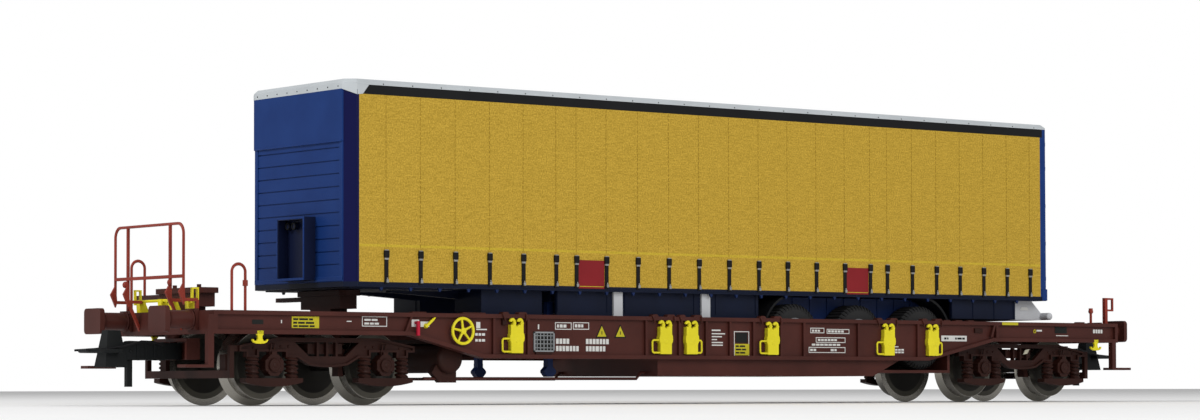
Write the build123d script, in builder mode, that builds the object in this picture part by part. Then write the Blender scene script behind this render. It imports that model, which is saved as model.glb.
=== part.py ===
"""Model of a pocket wagon that carries a curtain-sided semi-trailer, at 1:87.

All sizes are in millimetres.  X runs along the wagon, Y across it and Z up.
The origin is under the middle of the wagon, level with the lowest points of the wheel flanges.
"front" is the railing end, at negative X.  "near" is the side at negative Y, "far" the other.
"""
from build123d import *
import math
import os

os.makedirs("parts", exist_ok=True)

# Clearances
running_gap = 0.3
fit_gap = 0.08
seat_gap = 0.05

# Wheelsets
tread_diameter = 10.6
flange_depth = 1.0
flange_thickness = 0.85
wheel_width = 2.8
wheel_back_to_back = 14.4
wheel_rim = 1.0
wheel_dish = 0.5
wheel_hub_diameter = 3.0
axle_diameter = 1.6
axle_pin_diameter = 1.0
axle_length = 25.2

# Bogies
pivot_distance = 152.88
bogie_wheelbase = 20.7
side_frame_spacing = 24.4
side_frame_thickness = 0.7
side_frame_lip = 0.45
side_frame_rim = 0.35
side_frame_half_length = 16.3
end_arm_reach = 1.5
side_frame_top = 10.6
side_frame_tip = 9.35
side_frame_tip_start = 9.5
side_frame_bottom = 8.4
side_frame_belly = 6.0
belly_half_width = 7.4
window_half_top = 6.0
window_half_bottom = 3.4
window_sill = 7.7
window_ribs = 3
window_rib_width = 0.4
window_rib_pitch = 1.75
bolster_half_length = 3.2
bolster_top = 9.7
bolster_thickness = 1.6
pivot_pin_diameter = 2.4
pivot_head = 0.7

# Axleboxes and springs
axlebox_width = 3.3
axlebox_top = 7.6
axlebox_face = 13.95
axlebox_cap_diameter = 2.2
axlebox_cap_depth = 0.3
spring_offset = 3.55
spring_diameter = 2.0
spring_core_diameter = 1.5
spring_coils = 3
small_bar_sides = 6
spring_top = 7.5
spring_cap_width = 2.2
spring_seat_height = 4.3
spring_seat_depth = 1.3
spring_seat_half_length = 5.2
hanger_width = 0.9

# Brake shoes and end beams of the bogies
shoe_thickness = 0.8
shoe_height = 3.4
shoe_width = 1.7
end_beam_height = 1.2
end_beam_thickness = 0.8
end_beam_bottom = 4.3

# Side sills
sill_half_length = 98.3
sill_face = 16.2
sill_flange_width = 1.8
sill_web_thickness = 0.6
sill_web_face = 15.6
sill_top = 14.65
sill_flange_thickness = 0.65
sill_end_bottom = 11.05
sill_middle_bottom = 7.5
front_slope_start = -62.8
front_slope_end = -48.6
rear_slope_start = 50.0
rear_slope_end = 66.3
rib_width = 0.45
rib_places = [-46.4, -39.5, -14.9, -7.7, -1.8, 3.5, 8.8, 15.0, 20.3, 33.1, 47.5]

# Headstocks and decks
headstock_thickness = 0.7
deck_thickness = 0.8
front_deck_end = -61.5
rear_deck_end = 57.6
bearer_thickness = 0.8
boss_diameter = 7.0

# Wheel pocket
pocket_front = -11.7
pocket_wall_thickness = 0.6
pocket_bottom = 4.7
pocket_floor_thickness = 1.1
pocket_slope_start = 37.4
pocket_slope_end = 43.8
pocket_rear = 56.8
pocket_tail_bottom = 5.3

# Buffers
buffer_spacing = 20.1
buffer_height = 13.3
buffer_length = 6.4
buffer_head_width = 5.2
buffer_head_height = 4.05
buffer_head_radius = 0.7
buffer_head_thickness = 0.8
buffer_sleeve_diameter = 2.8
buffer_base_size = 3.3
buffer_base_thickness = 0.5

# Couplers
coupler_pivot_inset = 1.7
coupler_bottom = 7.2
coupler_height = 2.6
coupler_eye_diameter = 2.6
coupler_pin_diameter = 1.2
coupler_shank_width = 2.6
coupler_shank_length = 9.6
coupler_head_length = 2.8
coupler_head_overlap = 0.6
coupler_bow_length = 3.7
coupler_bow_width = 6.0
coupler_bow_rod = 0.6
coupler_bow_corner = 2.0
coupler_head_bottom = 6.0
coupler_head_top = 11.7
coupler_head_width = 3.6
coupler_head_taper = 9
coupler_tail_bottom = 3.0
coupler_tail_size = 0.9
coupler_tail_inset = 1.6
coupler_housing_inset = 1.1
coupler_housing_length = 2.4
coupler_housing_half_width = 5.0
coupler_housing_bottom = 7.2
coupler_housing_top = 10.5
coupler_housing_wall = 0.5

# End railing
railing_reach = 2.0
railing_half_width = 10.5
railing_top = 28.25
railing_leg_bottom = 16.3
railing_bar_height = 19.9
railing_inner_offset = 6.5
railing_tube = 0.5
railing_corner = 1.6
gusset_reach = 0.9
gusset_thickness = 0.4
gusset_top_drop = 0.9
gusset_tip_drop = 2.4
gusset_bottom_drop = 0.8
strut_top_drop = 0.6
strut_height = 1.0

# Side handrails
# Each as side, distance of its first leg behind the headstock's face, top
handrail_table = [(-1, 3.9, 22.0), (1, 3.4, 23.4)]
handrail_length = 2.4
handrail_offset = 14.9
handrail_tube = 0.5

# Release shaft across the front headstock
release_shaft_near_end = -9.3
release_shaft_far_end = 8.2
release_shaft_height = 16.4
release_shaft_diameter = 0.5
release_foot_places = [-7.6, -2.6, 0.6, 7.3]
release_foot_width = 1.1
release_foot_top_front = 0.5
release_foot_top_rear = 0.4
release_foot_length = 1.3
release_ring_rise = 0.65
release_ring_height = 2.4
release_ring_width = 1.2

# Trailer hitches
hitch_front_inset = 4.8
kingpin_place = -67.8
hitch_plate_half_width = 7.0
hitch_plate_length = 4.0
hitch_plate_corner = 0.8
hitch_plate_thickness = 0.85
hitch_block_half_width = 5.8
hitch_foot_half_width = 3.0
hitch_foot_height = 0.8
hitch_pedestal_length = 3.2
hitch_arm_reach = 14.8
hitch_arm_width = 1.5
hitch_arm_thickness = 0.7
hitch_stub_offset = 3.7
hitch_stub_diameter = 0.8
hitch_stub_height = 0.55

# Locking levers: place along X, side of the handle (-1 front, 1 rear)
lever_table = [(-42.5, -1), (-11.4, -1), (-5.5, 1), (12.4, -1), (39.7, -1), (50.7, 1)]
lever_bottom = 8.35
lever_body_width = 2.8
lever_waist_height = 1.75
lever_shoulder_height = 3.65
lever_bulge = 0.35
lever_neck_width = 2.2
lever_neck_height = 4.7
lever_ear_radius = 0.68
lever_ear_pitch = 1.5
lever_ear_height = 4.95
lever_notch_radius = 0.28
lever_thickness = 0.9
lever_handle_width = 1.5
lever_handle_height = 2.45
lever_handle_bar = 0.4

# Handwheels
handwheel_place = -52.9
handwheel_height = 11.85
handwheel_diameter = 4.6
handwheel_rim = 0.5
handwheel_sides = 16
handwheel_spokes = 5
handwheel_spoke_width = 0.38
handwheel_hub_diameter = 1.1
handwheel_thickness = 0.35
handwheel_first_spoke = 75
handwheel_shaft_diameter = 0.6

# Small fittings on the sills
grid_place = -36.15
grid_width = 4.2
grid_height = 3.3
grid_bottom = 8.6
grid_columns = 4
grid_rows = 3
grid_bar = 0.25
grid_thickness = 0.3
brake_lever_place = -61.6
brake_lever_middle = 12.2
brake_lever_length = 2.3
load_lever_place = -58.6
load_lever_middle = 12.5
load_lever_length = 1.9
load_lever_turn = 38
lever_arm_width = 0.5
lever_arm_thickness = 0.4
rope_hook_insets = [8.1, 6.3]
rope_hook_top = 12.65
rope_hook_height = 3.3
rope_hook_width = 3.0
rope_hook_top_width = 1.2
rope_hook_neck_width = 0.8
rope_hook_curl = 0.9
rope_hook_thickness = 0.6

# Air reservoir and brake rods
reservoir_place = -52.65
reservoir_height = 7.55
reservoir_diameter = 4.8
reservoir_half_length = 12.5
reservoir_bar_bottom = 9.9
reservoir_bar_thickness = 0.7
reservoir_bar_length = 2.8
bracket_bottom = 3.6
bracket_length = 3.2
bracket_thickness = 1.1
rod_height = 4.25
rod_diameter = 0.5
rod_offset = 11.4
rod_front = -57.2
rod_rear = -12.4
rod_top = 5.3

# Steps at the four corners
step_post_width = 1.0
front_step_post_top = 14.0
rear_step_inset = 1.0
step_tread_height = 6.35
step_tread_thickness = 0.45
step_tread_length = 5.0
step_tread_width = 2.4

# Lamp bracket and valve lever at the rear
lamp_bracket_inset = 0.65
lamp_bracket_offset = 13.6
lamp_bracket_top = 19.55
lamp_bracket_width = 0.7
lamp_loop_width = 2.3
lamp_loop_height = 2.5
valve_lever_inset = 5.6
valve_lever_offset = 14.6
valve_lever_top = 17.1
valve_knob_diameter = 0.8

# Trailer body
trailer_front = -73.6
trailer_rear = 81.5
trailer_half_width = 14.6
trailer_corner_depth = 1.6
trailer_corner_width = 1.5
trailer_wall = 0.8
trailer_floor_bottom = 18.7
trailer_floor_top = 19.5
trailer_roof_bottom = 50.6
trailer_roof_thickness = 0.9
roof_skirt_height = 0.7
roof_edge_chamfer = 0.6
roof_band_height = 1.5
roof_band_depth = 0.5
header_height = 8.2
header_proud = 0.25
plank_height = 2.05
plank_groove = 0.2
plank_frame = 1.0
corner_return = 0.4
corner_wall_overlap = 0.6
curtain_rear = 80.1
connector_box_left = 2.95
connector_box_right = -5.07
connector_box_top = 30.0
connector_box_bottom = 19.9
connector_box_depth = 2.2
connector_box_wall = 0.4
connector_diameter = 1.2
connector_height = 28.7
connector_places = [1.4, -0.4]
connector_depth = 0.7
door_bar_places = [-9.5, -4.0, 4.0, 9.5]
door_bar_diameter = 0.7
door_split = 0.3

# Curtain straps: places along X
strap_places = [-66.5, -59.9, -53.1, -46.3, -39.5, -32.8, -28.6, -22.3, -15.6, -8.9, -2.3, 4.4,
                11.1, 17.7, 24.4, 31.1, 37.2, 41.3, 47.4, 53.4, 59.3, 65.3, 71.3, 77.3]
strap_bottom = 19.2
strap_top = 24.3
strap_width = 0.7
strap_thickness = 0.2

# Trailer chassis
chassis_beam_offset = 5.6
chassis_beam_width = 1.2
chassis_beam_bottom = 15.2
chassis_neck_depth_front = 0.5
chassis_neck_depth_rear = 1.4
chassis_neck_rear = -46.4
chassis_front = -60.0
chassis_rear = 80.0
rubbing_plate_rear = -52.0
rubbing_plate_thickness = 0.25
rubbing_plate_half_width = 12.4
kingpin_diameter = 1.6
cross_beam_places = [-30.9, -12.0, 8.0, 64.0, 78.0]
cross_beam_length = 1.2
cross_beam_half_width = 11.2

# Trailer axles
trailer_axle_first = 20.0
trailer_axle_spacing = 15.06
trailer_axle_height = 11.6
trailer_axle_diameter = 1.8
tyre_diameter = 11.0
tyre_width = 4.0
tyre_outer_face = 14.0
tyre_shoulder = 0.5
trailer_rim_diameter = 6.6
trailer_rim_depth = 1.0
trailer_hub_diameter = 2.8
hanger_plate_thickness = 1.0
hanger_plate_length = 3.6

# Trailer fittings
leg_place = -30.9
leg_offset = 9.9
leg_size = 1.1
leg_bottom = 6.9
leg_foot_bottom = 4.55
leg_foot_width = 2.4
leg_foot_depth = 1.2
leg_foot_widest = 5.6
leg_foot_slope = 0.35
pallet_box_front = -46.5
pallet_box_rear = -34.2
pallet_box_bottom = 13.6
pallet_box_half_width = 12.6
side_panel_front = -31.6
side_panel_rear = 12.2
side_panel_bottom = 14.2
side_panel_face = 13.2
side_panel_thickness = 0.6
side_post_places = [-19.0, 0.1]
side_post_width = 1.9
side_post_proud = 0.4
rear_panel_front = 58.5
rear_panel_rear = 74.8
mudguard_radius = 7.1
mudguard_thickness = 0.4
mudguard_width = 4.4
mudguard_end_rise = 2.4
underrun_front = 74.8
underrun_top_rear = 80.4
underrun_bottom_rear = 83.2
underrun_bottom = 15.2
underrun_plate_thickness = 0.7
underrun_tube_diameter = 1.35
underrun_plate_end = 1.0
underrun_tube_half_length = 13.8

# Values that follow from the sizes above
axle_height = tread_diameter / 2 + flange_depth
pivot_places = [-pivot_distance / 2, pivot_distance / 2]
side_frame_outer_reach = side_frame_half_length + end_arm_reach
sill_inner = sill_face - sill_flange_width
deck_bottom = sill_top - deck_thickness
headstock_face = sill_half_length + headstock_thickness
axlebox_inner = side_frame_spacing / 2
buffer_face = headstock_face + buffer_length
coupler_pivot = sill_half_length - coupler_pivot_inset
coupler_shank_end = coupler_pivot + coupler_shank_length
coupler_head_end = coupler_shank_end + coupler_head_length
coupler_bow_end = coupler_head_end + coupler_bow_length
coupler_housing_outer = sill_half_length - coupler_housing_inset
coupler_housing_inner = coupler_housing_outer - coupler_housing_length
railing_plane = headstock_face + railing_reach
hitch_front_place = hitch_front_inset - headstock_face
hitch_plate_top = trailer_floor_bottom - rubbing_plate_thickness - seat_gap
rope_hook_places = [rope_hook_insets[0] - headstock_face, headstock_face - rope_hook_insets[1]]
trailer_roof_top = trailer_roof_bottom + trailer_roof_thickness
roof_front_skirt = trailer_roof_bottom - roof_skirt_height
roof_band_bottom = trailer_roof_bottom - roof_band_height
header_bottom = roof_front_skirt - header_height
trailer_axle_places = [trailer_axle_first + number * trailer_axle_spacing for number in range(3)]
trailer_box_front = trailer_front + trailer_wall
corner_end = trailer_front + trailer_corner_depth
curtain_front = corner_end + corner_return


def finish(shape, name):
    """Label a finished piece and write it as a STEP file."""
    shape.label = name
    export_step(shape, f"parts/{name}.step")


def looking_near(x, y):
    """Vertical plane at this y, local x along the wagon, its normal towards the near side."""
    return Plane(origin=(x, y, 0), x_dir=(1, 0, 0), z_dir=(0, -1, 0))


def looking_front(x):
    """Vertical plane at this x, local x towards the near side, its normal towards the front."""
    return Plane(origin=(x, 0, 0), x_dir=(0, -1, 0), z_dir=(-1, 0, 0))


# Wheelsets: axle with pointed journals and two flanged wheels, turned in one piece
def make_wheelset(x):
    back = wheel_back_to_back / 2
    face = back + wheel_width
    tread = tread_diameter / 2
    rim = tread - wheel_rim
    hub = wheel_hub_diameter / 2
    pin = axle_pin_diameter / 2
    half_profile = [
        (0, 0),
        (0, axle_diameter / 2),
        (back, axle_diameter / 2),
        (back, tread + flange_depth),
        (back + flange_thickness, tread),
        (face, tread),
        (face, rim),
        (face - wheel_dish, hub),
        (face - wheel_dish, pin),
        (axle_length / 2 - pin, pin),
        (axle_length / 2, 0),
    ]
    with BuildPart() as wheelset:
        with BuildSketch(Plane(origin=(x, 0, axle_height), x_dir=(0, 1, 0), z_dir=(1, 0, 0))):
            with BuildLine():
                Polyline(half_profile, close=True)
            make_face()
            mirror(about=Plane.YZ)
        revolve(axis=Axis((x, 0, axle_height), (0, 1, 0)))
    return wheelset.part


for number, (pivot, end) in enumerate([(pivot_places[0], -1), (pivot_places[0], 1),
                                       (pivot_places[1], -1), (pivot_places[1], 1)], start=1):
    finish(make_wheelset(pivot + end * bogie_wheelbase / 2), f"wheelset_{number}")


# Bogie side frame seen from the side, with its belly between the wheels
def side_frame_outline():
    tip = side_frame_half_length
    belly_rise = 0.35
    belly_end = belly_half_width - 1.6 * (side_frame_bottom - side_frame_belly)
    with BuildSketch() as outline:
        with BuildLine():
            Polyline([
                (-belly_end, side_frame_belly + belly_rise),
                (-belly_half_width, side_frame_bottom),
                (-tip, side_frame_bottom),
                (-tip, side_frame_tip),
                (-side_frame_tip_start, side_frame_top),
                (side_frame_tip_start, side_frame_top),
                (tip, side_frame_tip),
                (tip, side_frame_bottom),
                (belly_half_width, side_frame_bottom),
                (belly_end, side_frame_belly + belly_rise),
            ])
            ThreePointArc(
                (belly_end, side_frame_belly + belly_rise),
                (0, side_frame_belly),
                (-belly_end, side_frame_belly + belly_rise),
            )
        make_face()
        for side in (-1, 1):
            for spring in (-1, 1):
                with Locations((side * bogie_wheelbase / 2 + spring * spring_offset, spring_top)):
                    Rectangle(spring_cap_width, side_frame_bottom - spring_top + side_frame_rim,
                              align=(Align.CENTER, Align.MIN))
    return outline.sketch


def make_bogie_frame(pivot, outer_end):
    web_inner = side_frame_spacing / 2
    window_height = side_frame_top - 2 * side_frame_rim - window_sill
    beam_centre = outer_end * (side_frame_outer_reach - end_beam_thickness / 2)
    with BuildPart() as frame:
        # Side frame: web, raised rim along its edge, window with ribs
        side = looking_near(pivot, -web_inner)
        with BuildSketch(side):
            add(side_frame_outline())
        extrude(amount=side_frame_thickness)
        with BuildSketch(side):
            with BuildLine():
                Polyline([
                    (-window_half_top, window_sill + window_height),
                    (window_half_top, window_sill + window_height),
                    (window_half_bottom, window_sill),
                    (-window_half_bottom, window_sill),
                ], close=True)
            make_face()
            with Locations((0, window_sill + window_height / 2)):
                with GridLocations(window_rib_pitch, 1, window_ribs, 1):
                    Rectangle(window_rib_width, window_height, mode=Mode.SUBTRACT)
        extrude(amount=side_frame_thickness, mode=Mode.SUBTRACT)
        with BuildSketch(side.offset(side_frame_thickness)):
            add(side_frame_outline())
            offset(amount=-side_frame_rim, kind=Kind.INTERSECTION, mode=Mode.SUBTRACT)
        extrude(amount=side_frame_lip)
        # Arm and guard iron that carry the end beam
        with BuildSketch(side):
            with BuildLine():
                Polyline([
                    (outer_end * (side_frame_half_length - end_beam_thickness), side_frame_bottom),
                    (outer_end * (side_frame_half_length - end_beam_thickness), side_frame_tip),
                    (outer_end * side_frame_outer_reach, side_frame_tip),
                    (outer_end * side_frame_outer_reach, end_beam_bottom),
                    (outer_end * (side_frame_outer_reach - end_beam_thickness), end_beam_bottom),
                    (outer_end * (side_frame_outer_reach - end_beam_thickness), side_frame_bottom),
                ], close=True)
            make_face()
        extrude(amount=side_frame_thickness)
        mirror(about=Plane.XZ)
        # Bolster between the side frames, with the pivot hole
        with BuildSketch(Plane.XY.offset(bolster_top - bolster_thickness)):
            with Locations((pivot, 0)):
                Rectangle(2 * bolster_half_length, 2 * web_inner)
                Circle(pivot_pin_diameter / 2 + fit_gap, mode=Mode.SUBTRACT)
        extrude(amount=bolster_thickness)
        # End beam
        with BuildSketch(Plane.XY.offset(end_beam_bottom)):
            with Locations((pivot + beam_centre, 0)):
                Rectangle(end_beam_thickness, 2 * web_inner)
        extrude(amount=end_beam_height)
    return frame.part


finish(make_bogie_frame(pivot_places[0], -1), "bogie_frame_front")
finish(make_bogie_frame(pivot_places[1], 1), "bogie_frame_rear")


# Axlebox with a spring on each side, hung below the side frame
def make_axlebox(x):
    seat_top = spring_seat_height
    depth = axlebox_face - axlebox_inner
    spring_centre = axlebox_inner + depth / 2
    pitch = (spring_top - seat_top) / spring_coils
    with BuildPart() as axlebox:
        side = looking_near(x, -axlebox_inner)
        with BuildSketch(side):
            with BuildLine():
                Polyline([
                    (spring_seat_half_length, seat_top - spring_seat_depth / 2),
                    (spring_seat_half_length, seat_top),
                    (-spring_seat_half_length, seat_top),
                    (-spring_seat_half_length, seat_top - spring_seat_depth / 2),
                ])
                ThreePointArc(
                    (-spring_seat_half_length, seat_top - spring_seat_depth / 2),
                    (0, seat_top - spring_seat_depth),
                    (spring_seat_half_length, seat_top - spring_seat_depth / 2),
                )
            make_face()
            with Locations((0, axle_height)):
                RegularPolygon(axlebox_width / 2, 8, major_radius=False, rotation=22.5)
            with Locations((0, side_frame_bottom)):
                Rectangle(hanger_width, side_frame_bottom - axle_height, align=(Align.CENTER, Align.MAX))
        extrude(amount=depth)
        with BuildSketch(side.offset(depth)):
            with Locations((0, axle_height)):
                RegularPolygon(axlebox_cap_diameter / 2, 12)
        extrude(amount=axlebox_cap_depth)
        # Bearing for the journal
        with BuildSketch(side):
            with Locations((0, axle_height)):
                Circle(axle_pin_diameter / 2 + fit_gap)
        extrude(amount=axle_length / 2 + running_gap - axlebox_inner, mode=Mode.SUBTRACT)
        # Springs as stacks of coils
        for coil in range(spring_coils):
            base = seat_top + coil * pitch
            for height, diameter in ((base, spring_diameter), (base + pitch / 2, spring_core_diameter)):
                with BuildSketch(Plane.XY.offset(height)):
                    with Locations((x - spring_offset, -spring_centre), (x + spring_offset, -spring_centre)):
                        RegularPolygon(diameter / 2, small_bar_sides)
                extrude(amount=pitch / 2)
    return axlebox.part


# Brake shoes of one wheel pair: the outer one hangs on the end beam's side, the inner one on the bolster
def make_brake_shoe(x, towards, arm_end, arm_bottom, arm_top):
    """Shoe on the side of the wheel that "towards" points at (-1 or 1), with an arm out to arm_end."""
    inner_radius = tread_diameter / 2 + running_gap
    start = wheel_back_to_back / 2 + flange_thickness + running_gap / 2
    reach = abs(arm_end - x)
    with BuildPart() as shoe:
        with BuildSketch(looking_near(x, -start)):
            shoe_bottom = min(axle_height - shoe_height / 2, arm_bottom)
            shoe_top = max(axle_height + shoe_height / 2, arm_top)
            with Locations((towards * inner_radius, (shoe_bottom + shoe_top) / 2)):
                Rectangle(2 * shoe_thickness, shoe_top - shoe_bottom)
            with BuildLine():
                Polyline([
                    (towards * inner_radius, arm_bottom),
                    (towards * inner_radius, arm_top),
                    (towards * reach, arm_top),
                    (towards * reach, arm_bottom),
                ], close=True)
            make_face()
            with Locations((0, axle_height)):
                Circle(inner_radius, mode=Mode.SUBTRACT)
        extrude(amount=shoe_width)
    return shoe.part


def make_brake_shoes(pivot, outer_end):
    near_shoes = []
    for end in (-1, 1):
        x = pivot + end * bogie_wheelbase / 2
        bolster_side = pivot + end * bolster_half_length
        arm_bottom = bolster_top - bolster_thickness
        near_shoes.append(make_brake_shoe(x, -end, bolster_side, arm_bottom, arm_bottom + shoe_thickness))
    beam_side = pivot + outer_end * (side_frame_outer_reach - end_beam_thickness)
    near_shoes.append(make_brake_shoe(pivot + outer_end * bogie_wheelbase / 2, outer_end, beam_side,
                                      end_beam_bottom, end_beam_bottom + end_beam_height))
    return near_shoes + [mirror(shoe, about=Plane.XZ) for shoe in near_shoes]


for pivot, outer_end, end_name in zip(pivot_places, (-1, 1), ("front", "rear")):
    near_boxes = [make_axlebox(pivot + end * bogie_wheelbase / 2) for end in (-1, 1)]
    far_boxes = [mirror(box, about=Plane.XZ) for box in near_boxes]
    finish(Compound(near_boxes + far_boxes), f"axleboxes_{end_name}")
    finish(Compound(make_brake_shoes(pivot, outer_end)), f"brake_shoes_{end_name}")


# Side sill: fish-bellied web with flanges and upright ribs
def sill_lower_edge(raise_by=0.0):
    end_bottom = sill_end_bottom + raise_by
    middle_bottom = sill_middle_bottom + raise_by
    return [
        (-sill_half_length, end_bottom),
        (front_slope_start, end_bottom),
        (front_slope_end, middle_bottom),
        (rear_slope_start, middle_bottom),
        (rear_slope_end, end_bottom),
        (sill_half_length, end_bottom),
    ]


def sill_bottom_at(x):
    """Height of the sill's lower edge at this place."""
    if x < front_slope_start or x > rear_slope_end:
        return sill_end_bottom
    if x < front_slope_end:
        share = (x - front_slope_start) / (front_slope_end - front_slope_start)
        return sill_end_bottom + share * (sill_middle_bottom - sill_end_bottom)
    if x > rear_slope_start:
        share = (x - rear_slope_start) / (rear_slope_end - rear_slope_start)
        return sill_middle_bottom + share * (sill_end_bottom - sill_middle_bottom)
    return sill_middle_bottom


with BuildPart() as side_sill:
    web_inner = sill_web_face - sill_web_thickness
    with BuildSketch(looking_near(0, -web_inner)):
        with BuildLine():
            sill_ends = [(sill_half_length, sill_top), (-sill_half_length, sill_top)]
            Polyline(sill_lower_edge() + sill_ends, close=True)
        make_face()
    extrude(amount=sill_web_thickness)
    with BuildSketch(looking_near(0, -sill_inner)):
        with BuildLine():
            Polyline(sill_lower_edge() + sill_lower_edge(sill_flange_thickness)[::-1], close=True)
        make_face()
        with Locations((0, sill_top)):
            Rectangle(2 * sill_half_length, sill_flange_thickness, align=(Align.CENTER, Align.MAX))
    extrude(amount=sill_flange_width)
    with BuildSketch(looking_near(0, -sill_web_face)):
        for rib in rib_places:
            with Locations((rib, sill_top)):
                Rectangle(rib_width, sill_top - sill_bottom_at(rib) - sill_flange_thickness / 2,
                          align=(Align.CENTER, Align.MAX))
    extrude(amount=(sill_face - sill_web_face) * 0.8)
finish(side_sill.part, "side_sill_near")
finish(mirror(side_sill.part, about=Plane.XZ), "side_sill_far")


# End decks over the bogies, each with its bolster boss, pivot pin, coupler post and inner cross bearer
def make_end_deck(inner_end, pivot, outer_end):
    outer = outer_end * sill_half_length
    coupler_x = outer_end * coupler_pivot
    pin_end = bolster_top - bolster_thickness - seat_gap - pivot_head
    with BuildPart() as deck:
        with BuildSketch(Plane.XY.offset(deck_bottom)):
            with Locations(((inner_end + outer) / 2, 0)):
                Rectangle(abs(outer - inner_end), 2 * sill_inner)
        extrude(amount=deck_thickness)
        with BuildSketch(Plane.XY.offset(bolster_top + running_gap)):
            with Locations((pivot, 0)):
                Circle(boss_diameter / 2)
        extrude(amount=deck_bottom - bolster_top - running_gap)
        with BuildSketch(Plane.XY.offset(pin_end)):
            with Locations((pivot, 0)):
                Circle(pivot_pin_diameter / 2)
        extrude(amount=bolster_top + running_gap - pin_end)
        # Housing of the coupler, open to the outside and below, on a post under the deck
        housing_middle = outer_end * (coupler_housing_outer + coupler_housing_inner) / 2
        with BuildSketch(Plane.XY.offset(coupler_housing_bottom)):
            with Locations((housing_middle, 0)):
                Rectangle(coupler_housing_length, 2 * coupler_housing_half_width)
            with Locations((housing_middle + outer_end * coupler_housing_wall, 0)):
                Rectangle(coupler_housing_length, 2 * (coupler_housing_half_width - coupler_housing_wall),
                          mode=Mode.SUBTRACT)
            with Locations((coupler_x, 0)):
                Circle(coupler_pin_diameter / 2)
        extrude(amount=coupler_housing_top - coupler_housing_bottom)
        with BuildSketch(Plane.XY.offset(coupler_housing_top - coupler_housing_wall)):
            with Locations((housing_middle, 0)):
                Rectangle(coupler_housing_length, 2 * coupler_housing_half_width)
        extrude(amount=coupler_housing_wall)
        with BuildSketch(Plane.XY.offset(coupler_housing_top)):
            with Locations((coupler_x, 0)):
                Circle(coupler_eye_diameter / 2)
        extrude(amount=deck_bottom - coupler_housing_top)
        bearer_bottom = axle_height + tread_diameter / 2 + flange_depth + running_gap
        with BuildSketch(Plane.XY.offset(bearer_bottom)):
            with Locations((inner_end + outer_end * bearer_thickness / 2, 0)):
                Rectangle(bearer_thickness, 2 * sill_inner)
        extrude(amount=deck_bottom - bearer_bottom)
    return deck.part


finish(make_end_deck(front_deck_end, pivot_places[0], -1), "end_deck_front")
finish(make_end_deck(rear_deck_end, pivot_places[1], 1), "end_deck_rear")


# Headstocks
def make_headstock(outer_end):
    with BuildPart() as headstock:
        with BuildSketch(Plane.XY.offset(sill_end_bottom)):
            with Locations((outer_end * (sill_half_length + headstock_thickness / 2), 0)):
                Rectangle(headstock_thickness, 2 * sill_face)
        extrude(amount=sill_top - sill_end_bottom)
    return headstock.part


finish(make_headstock(-1), "headstock_front")
finish(make_headstock(1), "headstock_rear")


# Pocket for the trailer's wheels
with BuildPart() as wheel_pocket:
    pocket_outer = sill_web_face - sill_web_thickness
    pocket_wall_inner = pocket_outer - pocket_wall_thickness
    pocket_floor_top = pocket_bottom + pocket_floor_thickness
    with BuildSketch(looking_near(0, -pocket_wall_inner)):
        with BuildLine():
            Polyline([
                (pocket_front, sill_middle_bottom),
                (pocket_front, pocket_bottom),
                (pocket_slope_start, pocket_bottom),
                (pocket_slope_end, sill_middle_bottom),
            ], close=True)
        make_face()
    extrude(amount=pocket_wall_thickness)
    mirror(about=Plane.XZ)
    with BuildSketch(looking_near(0, pocket_wall_inner)):
        with BuildLine():
            Polyline([
                (pocket_front, pocket_floor_top),
                (pocket_front, pocket_bottom),
                (pocket_slope_start, pocket_bottom),
                (pocket_slope_start + (pocket_tail_bottom - pocket_bottom), pocket_tail_bottom),
                (pocket_rear, pocket_tail_bottom),
                (pocket_rear, pocket_floor_top),
            ], close=True)
        make_face()
    extrude(amount=2 * pocket_wall_inner)
    # End walls, up to the underside of the sills' top flanges
    with BuildSketch(Plane.XY.offset(pocket_floor_top)):
        with Locations((pocket_front + pocket_wall_thickness / 2, 0),
                       (pocket_rear - pocket_wall_thickness / 2, 0)):
            Rectangle(pocket_wall_thickness, 2 * sill_inner)
    extrude(amount=sill_top - sill_flange_thickness - pocket_floor_top)
finish(wheel_pocket.part, "wheel_pocket")


# Buffers: base, sleeve and rounded rectangular head
def make_buffer(outer_end, y):
    face = looking_front(outer_end * headstock_face)
    toward = 1 if outer_end < 0 else -1
    sleeve_length = buffer_face - buffer_head_thickness - headstock_face
    with BuildPart() as buffer:
        with BuildSketch(face):
            with Locations((-y, buffer_height)):
                Rectangle(buffer_base_size, buffer_base_size)
        extrude(amount=toward * buffer_base_thickness)
        with BuildSketch(face):
            with Locations((-y, buffer_height)):
                Circle(buffer_sleeve_diameter / 2)
        extrude(amount=toward * sleeve_length)
        with BuildSketch(face.offset(toward * sleeve_length)):
            with Locations((-y, buffer_height)):
                RectangleRounded(buffer_head_width, buffer_head_height, buffer_head_radius)
        extrude(amount=toward * buffer_head_thickness)
    return buffer.part


for outer_end, end_name in ((-1, "front"), (1, "rear")):
    pair = [make_buffer(outer_end, side * buffer_spacing / 2) for side in (-1, 1)]
    finish(Compound(pair), f"buffers_{end_name}")


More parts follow.
